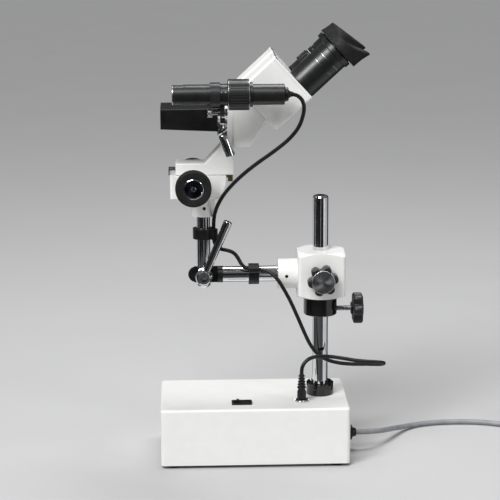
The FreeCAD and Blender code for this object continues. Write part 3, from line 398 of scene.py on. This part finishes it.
LEAD_RADIUS = 0.00225
LEAD_ROUTE = [
    (0.0265, -0.0612, 0.4472),
    (0.0325, -0.0612, 0.4472),
    (0.0380, -0.0610, 0.4448),
    (0.0423, -0.0604, 0.4402),
    (0.0444, -0.0594, 0.4338),
    (0.0441, -0.0578, 0.4245),
    (0.0395, -0.0547, 0.4090),
    (0.0282, -0.0497, 0.3938),
    (0.0102, -0.0422, 0.3782),
    (-0.0093, -0.0327, 0.3630),
    (-0.0285, -0.0227, 0.3455),
    (-0.0443, -0.0132, 0.3270),
    (-0.0535, -0.0042, 0.3100),
    (-0.0575, 0.0038, 0.2955),
    (-0.0581, 0.0082, 0.2830),
    (-0.0581, 0.0082, 0.2640),
    (-0.0552, 0.0081, 0.2578),
    (-0.0497, 0.0079, 0.2540),
    (-0.0421, 0.0074, 0.2528),
    (-0.0343, 0.0066, 0.2500),
    (-0.0293, 0.0054, 0.2436),
    (-0.0253, 0.0034, 0.2356),
    (-0.0188, 0.0024, 0.2305),
    (-0.0018, 0.0024, 0.2305),
    (0.0092, -0.0018, 0.2272),
    (0.0179, -0.0068, 0.2190),
    (0.0253, -0.0082, 0.2064),
    (0.0323, -0.0076, 0.1930),
    (0.0401, -0.0070, 0.1750),
    (0.0481, -0.0058, 0.1556),
    (0.0557, -0.0038, 0.1384),
    (0.0647, -0.0014, 0.1258),
    (0.0767, 0.0000, 0.1176),
    (0.0923, 0.0038, 0.1124),
    (0.1097, 0.0086, 0.1096),
    (0.1242, 0.0140, 0.1080),
    (0.1351, 0.0156, 0.1072),
    (0.1431, 0.0098, 0.1086),
    (0.1460, 0.0003, 0.1124),
    (0.1430, -0.0090, 0.1162),
    (0.1351, -0.0146, 0.1186),
    (0.1227, -0.0150, 0.1196),
    (0.1087, -0.0132, 0.1206),
    (0.0942, -0.0112, 0.1230),
    (0.0792, -0.0098, 0.1250),
    (0.0657, -0.0108, 0.1258),
    (0.0567, -0.0142, 0.1250),
    (0.0511, -0.0166, 0.1224),
    (0.0471, -0.0183, 0.1182),
    (0.0449, -0.0192, 0.1129),
    (0.0449, -0.0192, 0.1070),
]
# Where each stretch of the lead hands over to the next, and the two bodies it bends between.
LEAD_STRETCHES = [
    ("lamp_lead_top", "lamp_head", "lamp_arm", (0.0395, -0.0547, 0.4090)),
    ("lamp_lead_drop", "lamp_arm", "head", (0.0102, -0.0422, 0.3782)),
    ("lamp_lead_arm", "head", "tilt_arm", (-0.0581, 0.0082, 0.2830)),
    ("lamp_lead_elbow", "tilt_arm", "boom", (-0.0188, 0.0024, 0.2305)),
    ("lamp_lead_post", "boom", "collar", (0.0401, -0.0070, 0.1750)),
    ("lamp_lead_foot", "collar", "base", (0.0449, -0.0192, 0.1070)),
]

lead_line = read_line(spline("lead_line", LEAD_ROUTE))
begun = 0
for name, upper, lower, handover in LEAD_STRETCHES:
    near = min(range(begun + 1, len(lead_line)), key=lambda i: (lead_line[i] - Vector(handover)).length)
    stretch = lead_line[begun : near + 1]
    piece = tube(name, stretch, LEAD_RADIUS, BLACK_SHEATH)
    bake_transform(piece)
    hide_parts("lamp_cord")
    begun = near


# ---------------------------------------------------------------- mains lead

MAINS_RADIUS = 0.0032
MAINS_ROUTE = [
    (0.1138, 0.0148, 0.0218),
    (0.1257, 0.0148, 0.0218),
    (0.1377, 0.0198, 0.0208),
    (0.1477, 0.0298, 0.0182),
    (0.1561, 0.0434, 0.0150),
    (0.1653, 0.0588, 0.0112),
    (0.1757, 0.0744, 0.0074),
    (0.1887, 0.0888, 0.0044),
    (0.2057, 0.0992, 0.0035),
    (0.2297, 0.1044, 0.0035),
    (0.2567, 0.1054, 0.0035),
    (0.2817, 0.1018, 0.0035),
    (0.3017, 0.0943, 0.0035),
    (0.3187, 0.0844, 0.0035),
]
TAIL_ROUTE = [
    (0.3153, 0.1068, 0.0225),
    (0.3133, 0.0948, 0.0180),
    (0.3157, 0.0838, 0.0132),
    (0.3207, 0.0738, 0.0098),
    (0.3251, 0.0632, 0.0074),
    (0.3333, 0.0538, 0.0068),
    (0.3437, 0.0478, 0.0072),
    (0.3547, 0.0458, 0.0074),
    (0.3587, 0.0458, 0.0074),
]
TURN_STEPS = 16
PITCH_OUT = 0.00665
OUTER_TURN = 0.0420
INNER_TURN = OUTER_TURN - 2 * PITCH_OUT
LAYERS = (0.0035, 0.0101, 0.0167, 0.0234)
coil_low, coil_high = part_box("mains_cord_coil")
coil_middle = (coil_low + coil_high) / 2


def winding_place(turns):
    """The radius and height of the coil after this many turns: in, out and in again, then over."""
    if turns < 2:
        return OUTER_TURN - PITCH_OUT * turns, LAYERS[0]
    if turns < 2.3:
        return INNER_TURN, LAYERS[0] + (LAYERS[1] - LAYERS[0]) * (turns - 2) / 0.3
    if turns < 4.3:
        return INNER_TURN + PITCH_OUT * (turns - 2.3), LAYERS[1]
    if turns < 4.6:
        return OUTER_TURN, LAYERS[1] + (LAYERS[2] - LAYERS[1]) * (turns - 4.3) / 0.3
    if turns < 6.4:
        return OUTER_TURN - PITCH_OUT * (turns - 4.6), LAYERS[2]
    inner = OUTER_TURN - PITCH_OUT * 1.8
    if turns < 6.6:
        return inner, LAYERS[2] + (LAYERS[3] - LAYERS[2]) * (turns - 6.4) / 0.2
    return inner + (0.0455 - inner) * (turns - 6.6) / 0.25, LAYERS[3]


COIL_TURNS = 6.82
COIL_START = math.radians(235)
coil_points = []
for step in range(1, int(COIL_TURNS * TURN_STEPS) + 1):
    turns = step / TURN_STEPS
    radius, height = winding_place(turns)
    angle = COIL_START + 2 * math.pi * turns
    x = coil_middle.x + radius * math.cos(angle)
    y = coil_middle.y + radius * math.sin(angle)
    coil_points.append((x, y, height))

mains_points = MAINS_ROUTE + coil_points + TAIL_ROUTE
mains_length = run_length(read_line(spline("mains_line", mains_points)))
mains_lead = spline("mains_lead", mains_points, MAINS_RADIUS)
mains_lead.data.materials.append(GREY_SHEATH)
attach(mains_lead, "base")
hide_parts("mains_cord", "mains_cord_coil", "mains_cord_tail")

TIE_ANGLE = math.radians(55)
TIE_THICKNESS = 0.0011
TIE_HALF_WIDTH = 0.0045
TIE_SLACK = 0.0004
TIE_LOW = 0.0014


def coil_tie():
    """A soft strap round the turns, held by its own overlap."""
    inside = INNER_TURN - MAINS_RADIUS - TIE_SLACK
    outside = OUTER_TURN + MAINS_RADIUS + TIE_SLACK
    top = LAYERS[2] + MAINS_RADIUS + TIE_SLACK
    corner = 0.0035
    corners = ((outside, top, 0), (inside, top, 90), (inside, TIE_LOW, 180), (outside, TIE_LOW, 270))
    loops = []
    for grow in (0, TIE_THICKNESS):
        loop = []
        lowest = 0.0001 + 0.0002 * (grow == 0)
        for x, z, start in corners:
            size = corner + grow
            mid_x = x - math.copysign(corner, x - (inside + outside) / 2)
            mid_z = z - math.copysign(corner, z - top / 2)
            for i in range(7):
                turn = math.radians(start + 15 * i)
                loop.append((mid_x + size * math.cos(turn), max(mid_z + size * math.sin(turn), lowest)))
        loops.append(loop)
    outward = Vector((math.cos(TIE_ANGLE), math.sin(TIE_ANGLE), 0))
    along = Vector((-math.sin(TIE_ANGLE), math.cos(TIE_ANGLE), 0))
    middle = Vector((coil_middle.x, coil_middle.y, 0))
    vertices = []
    for loop in loops:
        for side in (-1, 1):
            for x, z in loop:
                vertices.append(middle + outward * x + UP * z + along * TIE_HALF_WIDTH * side)
    count = len(loops[0])
    faces = []
    for i in range(count):
        j = (i + 1) % count
        low_in, high_in, low_out, high_out = (k * count for k in range(4))
        faces.append((low_in + i, low_in + j, high_in + j, high_in + i))
        faces.append((low_out + i, high_out + i, high_out + j, low_out + j))
        faces.append((low_in + i, low_out + i, low_out + j, low_in + j))
        faces.append((high_in + i, high_in + j, high_out + j, high_out + i))
    return add_mesh("coil_tie", vertices, faces, RUBBER)


tie = coil_tie()
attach(tie, "base")


# ---------------------------------------------------------------- knobs


KNOB_LOBES = 6


def knob_outline(radius, depth, phase, angle):
    """The radius of a lobed knob: broad round lobes with narrower hollows between."""
    wave = 0.5 + 0.5 * math.cos(KNOB_LOBES * (angle - phase))
    return radius - depth * (1 - wave) ** 1.7


def lobed_knob(name, node, origin, axis, outline, radius, depth, phase, body, material):
    """A moulded knob: its outline gives (distance, share of the lobed radius), from its back."""

    def reach(along, share, angle):
        return along, share * knob_outline(radius, depth, phase, angle)

    knob = turned(name, outline, origin, axis, material, 180, reach, 50)
    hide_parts(node)
    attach(knob, body)


def knob_shape(thick):
    """A lobed knob's side: flat back, rounded rim and a slightly sunk face."""
    side = [(0.0, 0.0), (0.0, 0.86), (0.25, 0.93), (0.9, 0.975), (2.0, 1.0), (thick - 2.4, 1.0)]
    side += [(thick - 1.2, 0.985), (thick - 0.4, 0.945), (thick, 0.88), (thick - 0.2, 0.8)]
    return side + [(thick - 0.5, 0.0)]


POST_X = 80.5
BOOM_HEIGHT = 222.1
COLLAR_KNOB_HEIGHT = 178.4
LOBE_DEPTH = 4.8
lobed_knob(
    "block_knob_grip", "block_knob", spot(POST_X, -33.0, BOOM_HEIGHT), TO_FRONT, knob_shape(16),
    18.2, LOBE_DEPTH, math.radians(10), "block_screw", KNOB_GREY,
)
block_hub = turned(
    "block_knob_hub",
    [(-0.2, 0), (-0.2, 8.4), (0.4, 9.0), (6, 9.0), (6, 0)],
    spot(POST_X, -28.4, BOOM_HEIGHT), TO_FRONT, STEEL,
)
block_cap = turned(
    "block_knob_cap",
    [(0, 0), (0, 14.0), (2.2, 14.0)] + arc(2.2, 13.0, 1.0, 90, 0)[1:]
    + [(3.0, 12.0), (2.9, 4.0), (2.5, 3.4), (2.5, 0)],
    spot(POST_X, -48.4, BOOM_HEIGHT), TO_FRONT, BRIGHT_CAP,
)
for piece in (block_hub, block_cap):
    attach(piece, "block_screw")
    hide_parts("block_knob")


def thread(length, radius, pitch):
    """The outline of a threaded stud, from its inner end."""
    rows = [(0.0, 0.0), (0.0, radius - 0.5)]
    for i in range(int(length / pitch)):
        rows += [(i * pitch + 0.3 * pitch, radius - 0.42), (i * pitch + 0.7 * pitch, radius)]
    return rows + [(length, radius - 0.42), (length, 0.0)]


lobed_knob(
    "collar_knob_grip", "collar_knob", spot(119.6, 0, COLLAR_KNOB_HEIGHT), ALONG_X, knob_shape(11.8),
    18.8, LOBE_DEPTH, 0.0, "collar_screw", KNOB_GREY,
)
collar_hub = turned(
    "collar_knob_hub", [(0, 0), (0, 6.9), (0.6, 7.5), (3, 7.5), (3, 0)],
    spot(117.4, 0, COLLAR_KNOB_HEIGHT), ALONG_X, PLASTIC,
)
collar_stud = turned(
    "collar_knob_stud", thread(28, 3.0, 0.9), spot(89.9, 0, COLLAR_KNOB_HEIGHT), ALONG_X, STEEL, 48, sharp=20,
)
collar_cap = turned(
    "collar_knob_cap",
    [(0, 0), (0, 10.2), (0.5, 10.2)] + arc(0.5, 9.6, 0.6, 90, 0)[1:] + [(1.1, 9.0), (0.9, 0)],
    spot(131.0, 0, COLLAR_KNOB_HEIGHT), ALONG_X, KNOB_GREY,
)
for piece in (collar_hub, collar_stud, collar_cap):
    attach(piece, "collar_screw")
    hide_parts("collar_knob")

PINION_X = -70.4
PINION_HEIGHT = 334.0
KNOB_START = 36.8
for side, name in ((-1, "near"), (1, "far")):
    outward = Vector((0, side, 0))
    start = spot(PINION_X, KNOB_START * side, PINION_HEIGHT)
    grooves = []
    for i in range(7):
        low = 2.2 + 1.3 * i
        grooves += [(low, 21.1), (low + 0.25, 20.75), (low + 0.55, 20.75), (low + 0.8, 21.1)]
    rim = turned(
        "focus_knob_rim_" + name,
        [(0, 3.0), (0, 19.4)] + arc(1.6, 19.5, 1.6, 180, 90)[1:] + grooves
        + arc(11.4, 19.3, 1.8, 90, 0)[1:]
        + [(13.2, 19.0), (13.0, 12.4), (12.6, 11.4), (9.0, 11.4), (9.0, 3.0)],
        start, outward, RUBBER,
    )
    ring = turned(
        "focus_knob_ring_" + name,
        [(10.5, 10.2), (12.9, 10.3), (13.35, 10.7), (13.45, 11.3), (13.1, 11.8), (12.4, 12.0)]
        + [(10.5, 11.8)],
        start, outward, CHROME,
    )
    dish = turned(
        "focus_knob_dish_" + name,
        [(9.4, 0), (9.4, 10.6), (12.5, 10.4), (12.1, 8.8), (11.7, 6.6), (11.4, 4.6), (11.3, 3.4)]
        + [(11.3, 0)],
        start, outward, DARK_DISC,
    )
    hub = turned(
        "focus_knob_hub_" + name,
        [(11.0, 0), (11.0, 3.2), (12.3, 3.2), (12.8, 2.8), (12.9, 2.2), (12.2, 1.7), (12.2, 0)],
        start, outward, CHROME,
    )
    for piece, slot in ((rim, "rubber"), (ring, "chrome"), (dish, "steel"), (hub, "chrome")):
        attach(piece, "focus_drive")
        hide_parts("focus_knob_" + name)


# ---------------------------------------------------------------- eyepieces

EYE_ANGLE = math.radians(42.5)
EYE_AXIS = Vector((math.cos(EYE_ANGLE), 0, math.sin(EYE_ANGLE)))
EYE_ACROSS = Vector((-math.sin(EYE_ANGLE), 0, math.cos(EYE_ANGLE)))
EYE_FRAME = Matrix((EYE_ACROSS, Vector((0, -1, 0)), EYE_AXIS)).transposed()
EYE_X = 55
EYE_HEIGHT = 452.7
EYE_APART = 31.0
EYE_SIDES = (("near", -EYE_APART), ("far", EYE_APART))
SCREW_PLACES = ((-14.6, 17.6), (-14.6, -17.6), (43.4, 17.6), (43.4, -17.6))


def plate_spot(y, s, aside):
    """A place on a face plate: s across it and aside to the front, in millimetres."""
    return spot(EYE_X, y, EYE_HEIGHT) + (EYE_ACROSS * s + Vector((0, -aside, 0))) * MM


# The height of each cup's rim: its mean, its tilt to the lower side and its saddle, in millimetres.
CUP_RIMS = {"near": (73.4, 3.8, 3.5), "far": (77.4, 4.2, 0.5)}
# Where each tube's foot rings begin, and the radius that they stand on.
RING_BANDS = {"near": (1.0, 18.75), "far": (0.8, 16.35)}


def eyecup(name, y):
    """A soft cup: ribbed root, a wall that is thick and wide on its lower side, and a saddle rim."""
    steps = 120
    mean, tilt, saddle = CUP_RIMS[name]
    wall = [i / 12 for i in range(1, 13)]
    vertices = []
    for step in range(steps):
        angle = 2 * math.pi * step / steps
        low_side = -math.cos(angle)
        lift = mean + tilt * low_side + saddle * math.cos(2 * angle)
        root = 24.3 + 1.9 * low_side
        thick = 2.6 + 0.9 * low_side

        def outer(t):
            rise = (t - 58) / 22
            return root + rise * 2.35 * low_side - 0.8 * math.sin(math.pi * min(rise, 1))

        column = [(58.0, 17.4), (58.0, root - 0.8), (58.3, root - 0.2), (58.9, root), (59.5, root - 0.15)]
        column += [(59.9, outer(59.9) - 0.35), (60.3, outer(60.3))]
        column += [(60.3 + (lift - 60.3) * f, outer(60.3 + (lift - 60.3) * f)) for f in wall]
        edge = outer(lift)
        column += [(lift + 0.6, edge - 0.3), (lift + 0.9, edge - 0.9), (lift + 0.9, edge - thick + 0.5)]
        column += [(lift + 0.5, edge - thick)]
        for f in wall:
            t = 67 + (lift - 67) * (1 - f)
            column.append((t, (outer(t) - thick) * (1 - f) + 19.4 * f))
        column += [(66.7, 19.0), (66.6, 17.4)]
        for t, radius in column:
            local = Vector((radius * math.cos(angle), radius * math.sin(angle), t)) * MM
            vertices.append(spot(EYE_X, y, EYE_HEIGHT) + EYE_FRAME @ local)
    count = len(column)
    faces = []
    for step in range(steps):
        a = step * count
        b = (step + 1) % steps * count
        for i in range(count):
            j = (i + 1) % count
            faces.append((a + i, b + i, b + j, a + j))
    return add_mesh("eyecup_rubber_" + name, vertices, faces, RUBBER, 60)


for name, y in EYE_SIDES:
    body = "prism_" + name
    foot = spot(EYE_X, y, EYE_HEIGHT)
    cup = eyecup(name, y)
    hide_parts("eyecup_" + name)
    lens = turned(
        "eye_lens_" + name,
        [(58.1, 0), (58.1, 11.4), (60.2, 11.4), (61.2, 9.0), (61.9, 6.0), (62.2, 3.0), (62.3, 0)],
        foot, EYE_AXIS, GLASS,
    )
    bezel = turned(
        "eye_lens_ring_" + name,
        [(60.0, 11.2), (61.6, 11.9), (65.7, 12.5), (66.3, 13.2), (66.4, 16.0), (66.0, 16.5)]
        + [(65.2, 12.7), (61.2, 12.0)],
        foot, EYE_AXIS, ANODISED,
    )
    t, radius = RING_BANDS[name]
    rows = [(t - 0.6, radius - 1.0)]
    for i in range(5):
        low = t + 0.5 * i
        rows += [(low, radius + 0.05), (low + 0.2, radius + 0.32), (low + 0.35, radius + 0.05)]
    rows += [(t + 3.0, radius - 1.0)]
    rings = turned("eyepiece_foot_rings_" + name, rows, foot, EYE_AXIS, ANODISED, 120, sharp=20)
    pieces = [cup, lens, bezel, rings]
    for s, aside in SCREW_PLACES:
        screw = turned(
            "face_plate_screw_%s_%d" % (name, len(pieces)),
            [(-0.6, 0), (-0.6, 1.9), (0.35, 1.9), (0.7, 1.5), (0.75, 0.9), (0.2, 0.8), (0.2, 0)],
            plate_spot(y, s, aside), EYE_AXIS, DARK_SCREW, 32,
        )
        pieces.append(screw)
    for piece in pieces:
        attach(piece, body)

# Painted highlight: thin bright steel bands proud of the near barrel stand in for the light caught on the
# edges of its two grooves.
for t in (32.0, 41.3):
    line = turned(
        "eyepiece_groove_highlight_%d" % t,
        [(t - 0.15, 18.3), (t - 0.15, 18.85), (t + 0.15, 18.85), (t + 0.15, 18.3)],
        spot(EYE_X, -EYE_APART, EYE_HEIGHT), EYE_AXIS, STEEL, 120,
    )
    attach(line, "prism_near")
far_foot = spot(EYE_X, EYE_APART, EYE_HEIGHT)
# Painted highlight: a thin white ring on the far barrel stands in for the light on a groove edge.
far_highlight_line = turned(
    "eyepiece_highlight_line_far", [(30.6, 16.6), (30.6, 17.04), (31.0, 17.04), (31.0, 16.6)],
    far_foot, EYE_AXIS, WHITE_MARK_AND_HIGHLIGHT, 120,
)
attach(far_highlight_line, "prism_far")


def dot(name, place, outward, radius, body):
    """A small filled mark, barely proud of its surface."""
    outline = [(-0.25, 0), (-0.25, radius), (0.04, radius), (0.07, radius * 0.7), (0.08, 0)]
    mark = turned(name, outline, place, outward, WHITE_MARK_AND_HIGHLIGHT, 24)
    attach(mark, body)


dial_out = (EYE_ACROSS * 0.35 + TO_FRONT * 0.94).normalized()
dial_place = far_foot + EYE_AXIS * 15.1 * MM + dial_out * 18.2 * MM
dot("diopter_dot", dial_place, dial_out, 0.55, "diopter")


# ---------------------------------------------------------------- lamp

LAMP = spot(0, -76, 447.2)


def lamp_ring(name, profile, material, body="lamp_head"):
    piece = turned(name, profile, LAMP, ALONG_X, material, 120)
    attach(piece, body)


lamp_ring(
    "lamp_lens",
    [(-60.1, 0), (-62.0, 3.0), (-62.6, 5.5), (-62.4, 8.2), (-60.6, 9.4), (-59.9, 9.4), (-59.9, 0)],
    GLASS,
)
lamp_ring(
    "lamp_front_bead", [(-93.6, 10.9), (-93.2, 11.35), (-92.4, 11.4), (-92.1, 11.0)], STEEL,
)
# Painted highlight: thin bright steel bands on the two edges of the lamp ring stand in for the light caught
# on its chamfers.
lamp_ring(
    "lamp_ring_edge_highlight_left", [(-30.75, 16.9), (-30.2, 17.65), (-29.9, 17.66), (-30.0, 16.9)],
    STEEL, "lamp_ring",
)
lamp_ring(
    "lamp_ring_edge_highlight_right", [(-6.15, 16.9), (-6.7, 17.65), (-7.0, 17.66), (-6.9, 16.9)],
    STEEL, "lamp_ring",
)
lamp_ring(
    "lamp_cap_rings",
    [(33.3, 6.8), (33.6, 7.0), (34.2, 8.3), (34.9, 8.3), (35.2, 7.5), (35.9, 7.5)]
    + [(36.2, 8.0), (36.9, 8.0), (37.2, 6.8)],
    ANODISED,
)
lamp_ring(
    "lamp_lead_sleeve",
    [(37.0, 2.3), (37.0, 4.4), (37.8, 4.6), (39.2, 4.2), (40.0, 3.3), (43.2, 2.75), (43.4, 2.3)],
    PLASTIC,
)
PILLAR_LOW = spot(-27.4, -39.0, 371.6)
PILLAR_HIGH = spot(-36.6, -39.0, 398.2)
pillar_axis = PILLAR_HIGH - PILLAR_LOW
pillar_length = pillar_axis.length / MM
pillar = turned(
    "lamp_pillar_sleeve",
    [(-0.4, 0), (-0.4, 4.9), (0.6, 5.9), (3.0, 5.9), (3.2, 5.6), (3.8, 5.6), (4.0, 5.9)]
    + [(pillar_length - 3.4, 5.9), (pillar_length - 2.4, 5.2), (pillar_length - 2.4, 0)],
    PILLAR_LOW, pillar_axis, CHROME, 64,
)
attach(pillar, "lamp_arm")

dot_out = (TO_FRONT * 0.94 + UP * 0.34).normalized()
for i, x in enumerate((-38.4, -33.4)):
    dot("lamp_dot_%d" % i, LAMP + (ALONG_X * x + dot_out * 12.42) * MM, dot_out, 0.5, "lamp_head")


# ---------------------------------------------------------------- plug and lever

SOCKET = spot(56.2, -34.0, 72.5)
ribs = [(12.5, 5.35)]
for i in range(5):
    low = 15.6 + 3.5 * i
    size = 5.5 - 0.42 * i
    ribs += [(low, size - 1.5), (low + 0.8, size - 1.5)] + arc(low + 1.9, size - 1.0, 1.0, 180, 0, 4)
plug = turned(
    "lamp_plug_moulding",
    [(3.6, 0), (3.6, 4.7), (4.2, 5.3), (12.0, 5.4)] + ribs + [(33.6, 2.6), (34.4, 2.3), (34.4, 0)],
    SOCKET, UP, PLASTIC, 64, sharp=30,
)
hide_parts("lamp_plug")
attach(plug, "base")


def castle(along, radius, angle):
    """Notches cut in the top of a slotted ring nut."""
    notch = math.cos(4 * angle) > 0.55
    return (along - 1.3 if along > 2.2 and notch else along), radius


nut = turned(
    "socket_nut", [(0.05, 5.6), (0.05, 8.0), (0.5, 8.4), (2.0, 8.4), (2.6, 7.9), (2.8, 6.2), (2.6, 5.6)],
    SOCKET, UP, CHROME, 96, castle, 30,
)
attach(nut, "base")

LEVER_FOOT = spot(-59.0, -17.0, BOOM_HEIGHT)
LEVER_TIP = spot(-29.6, -17.0, 289.7)
lever_axis = LEVER_TIP - LEVER_FOOT
lever_length = lever_axis.length / MM
lever = turned(
    "lever_bar",
    [(4, 0), (4, 4.0), (9, 4.2), (lever_length - 3, 5.2)]
    + arc(lever_length - 1.6, 3.8, 1.5, 75, 0) + [(lever_length - 0.1, 2.8), (lever_length - 0.4, 0)],
    LEVER_FOOT, lever_axis, CHROME, 64,
)
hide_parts("lever_handle")
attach(lever, "elbow_lever")


# ---------------------------------------------------------------- screws and small parts


SET_SCREW_RADIUS = 1.95


def socket_screw(name, place, body):
    """A set screw's end with its six-sided socket."""
    radius = SET_SCREW_RADIUS

    def hexagon(along, r, angle):
        if r > 0.6 * radius:
            return along, r
        return along, r / math.cos((angle + math.pi / 6) % (math.pi / 3) - math.pi / 6)

    outline = [(-2.5, 0), (-2.5, radius), (-0.25, radius), (0.0, radius - 0.25), (0.0, radius * 0.58)]
    outline += [(-1.3, radius * 0.5), (-1.5, 0)]
    screw = turned(name, outline, place, TO_FRONT, DARK_SCREW, 48, hexagon)
    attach(screw, body)


socket_screw("boss_set_screw", spot(39.3, -17.0, BOOM_HEIGHT), "boom")
socket_screw("socket_set_screw", spot(-57.8, -12.9, 304.5), "tilt_arm")


def pan_screw(name, place, outward, radius, body):
    """A domed screw head with a cross recess."""

    def cross(along, r, angle):
        slot_share = abs(math.cos(2 * angle)) ** 6
        deep = 0.45 * radius if r < 0.62 * radius and along > 0 else 0.0
        return along - deep * slot_share, r

    shares = [(0.12, 1), (0.4, 0.84), (0.55, 0.62), (0.6, 0.4), (0.62, 0.2), (0.62, 0)]
    dome = [(0, 0), (0, radius)] + [(high * radius, wide * radius) for high, wide in shares]
    screw = turned(name, dome, place, outward, STEEL, 64, cross, 50)
    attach(screw, body)


DOWN = Vector((0, 0, -1))
plate_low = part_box("bottom_plate")[0]
for i, (x, y) in enumerate(((-70, -48), (70, -48), (-70, 48), (70, 48))):
    place = spot(x, y, 0)
    place.z = plate_low.z
    pan_screw("plate_screw_%d" % i, place, DOWN, 3.0, "base")


# ---------------------------------------------------------------- floor and light

floor_mesh = bpy.data.meshes.new("floor")
FLOOR_HALF = 14.0
floor_corners = [(x * FLOOR_HALF, y * FLOOR_HALF, 0) for x, y in ((-1, -1), (1, -1), (1, 1), (-1, 1))]
floor_mesh.from_pydata(floor_corners, [], [(0, 1, 2, 3)])
floor = bpy.data.objects.new("floor", floor_mesh)
bpy.context.collection.objects.link(floor)
PALE_FLOOR = surface("pale_floor", (0.49, 0.49, 0.495), (0.5, 0.5, 0.505), (0.7, 0.8), 60, 0.00001)
floor_mesh.materials.append(PALE_FLOOR)

world = bpy.data.worlds.new("studio")
bpy.context.scene.world = world
world.use_nodes = True
world.node_tree.nodes["Background"].inputs["Color"].default_value = (0.97, 0.98, 1.0, 1)
world.node_tree.nodes["Background"].inputs["Strength"].default_value = 0.16
bpy.context.scene.view_settings.view_transform = "Standard"


def softbox(name, place, target, size, power):
    light = bpy.data.lights.new(name, "AREA")
    light.shape = "RECTANGLE"
    light.size, light.size_y = size
    light.energy = power
    item = bpy.data.objects.new(name, light)
    bpy.context.collection.objects.link(item)
    item.location = place
    item.rotation_euler = (Vector(target) - Vector(place)).to_track_quat("-Z", "Y").to_euler()


MIDDLE = (0.0, 0.0, 0.26)
softbox("key", (-1.0, -1.1, 1.5), MIDDLE, (0.5, 0.9), 22)
softbox("fill", (1.5, -1.1, 0.8), MIDDLE, (0.3, 1.3), 7)
softbox("top", (0.3, 0.5, 1.9), MIDDLE, (0.9, 0.6), 16)

sun = bpy.data.lights.new("sky_glow", "SUN")
sun.energy = 1.95
sun.angle = math.radians(30)
sun_item = bpy.data.objects.new("sky_glow", sun)
bpy.context.collection.objects.link(sun_item)
sun_item.rotation_euler = Vector((0.35, 0.75, -1.0)).to_track_quat("-Z", "Y").to_euler()


def dark_flag(name, azimuth, distance, wide, high):
    """A dark board with an apron on the floor, seen only in polished surfaces.
    Azimuth 0 is in front, 90 to the right."""
    mesh = bpy.data.meshes.new(name)
    half = wide / 2
    board = [(-half, 0, 0), (half, 0, 0), (half, 0, high), (-half, 0, high)]
    apron = [(0.3 * half, 0.82 * distance, 0), (-0.3 * half, 0.82 * distance, 0)]
    mesh.from_pydata(board + apron, [], [(0, 1, 2, 3), (0, 1, 4, 5)])
    item = bpy.data.objects.new(name, mesh)
    bpy.context.collection.objects.link(item)
    mesh.materials.append(surface(name, (0.01, 0.01, 0.01), (0.02, 0.02, 0.02), (0.8, 0.9), 40, 0.0001))
    turn = math.radians(azimuth)
    item.location = (distance * math.sin(turn), -distance * math.cos(turn), 0.002)
    item.rotation_euler = (0, 0, turn)
    item.visible_camera = False
    item.visible_diffuse = False
    item.visible_shadow = False


FLAG_DISTANCE = 1.1
FLAG_HEIGHT = 0.72
FLAGS = ((-98, 0.7), (-58, 0.8), (-18, 0.8), (24, 0.75), (132, 0.8), (170, 0.7))
for i, (azimuth, wide) in enumerate(FLAGS):
    dark_flag("flag_%d" % i, azimuth, FLAG_DISTANCE, wide, FLAG_HEIGHT)
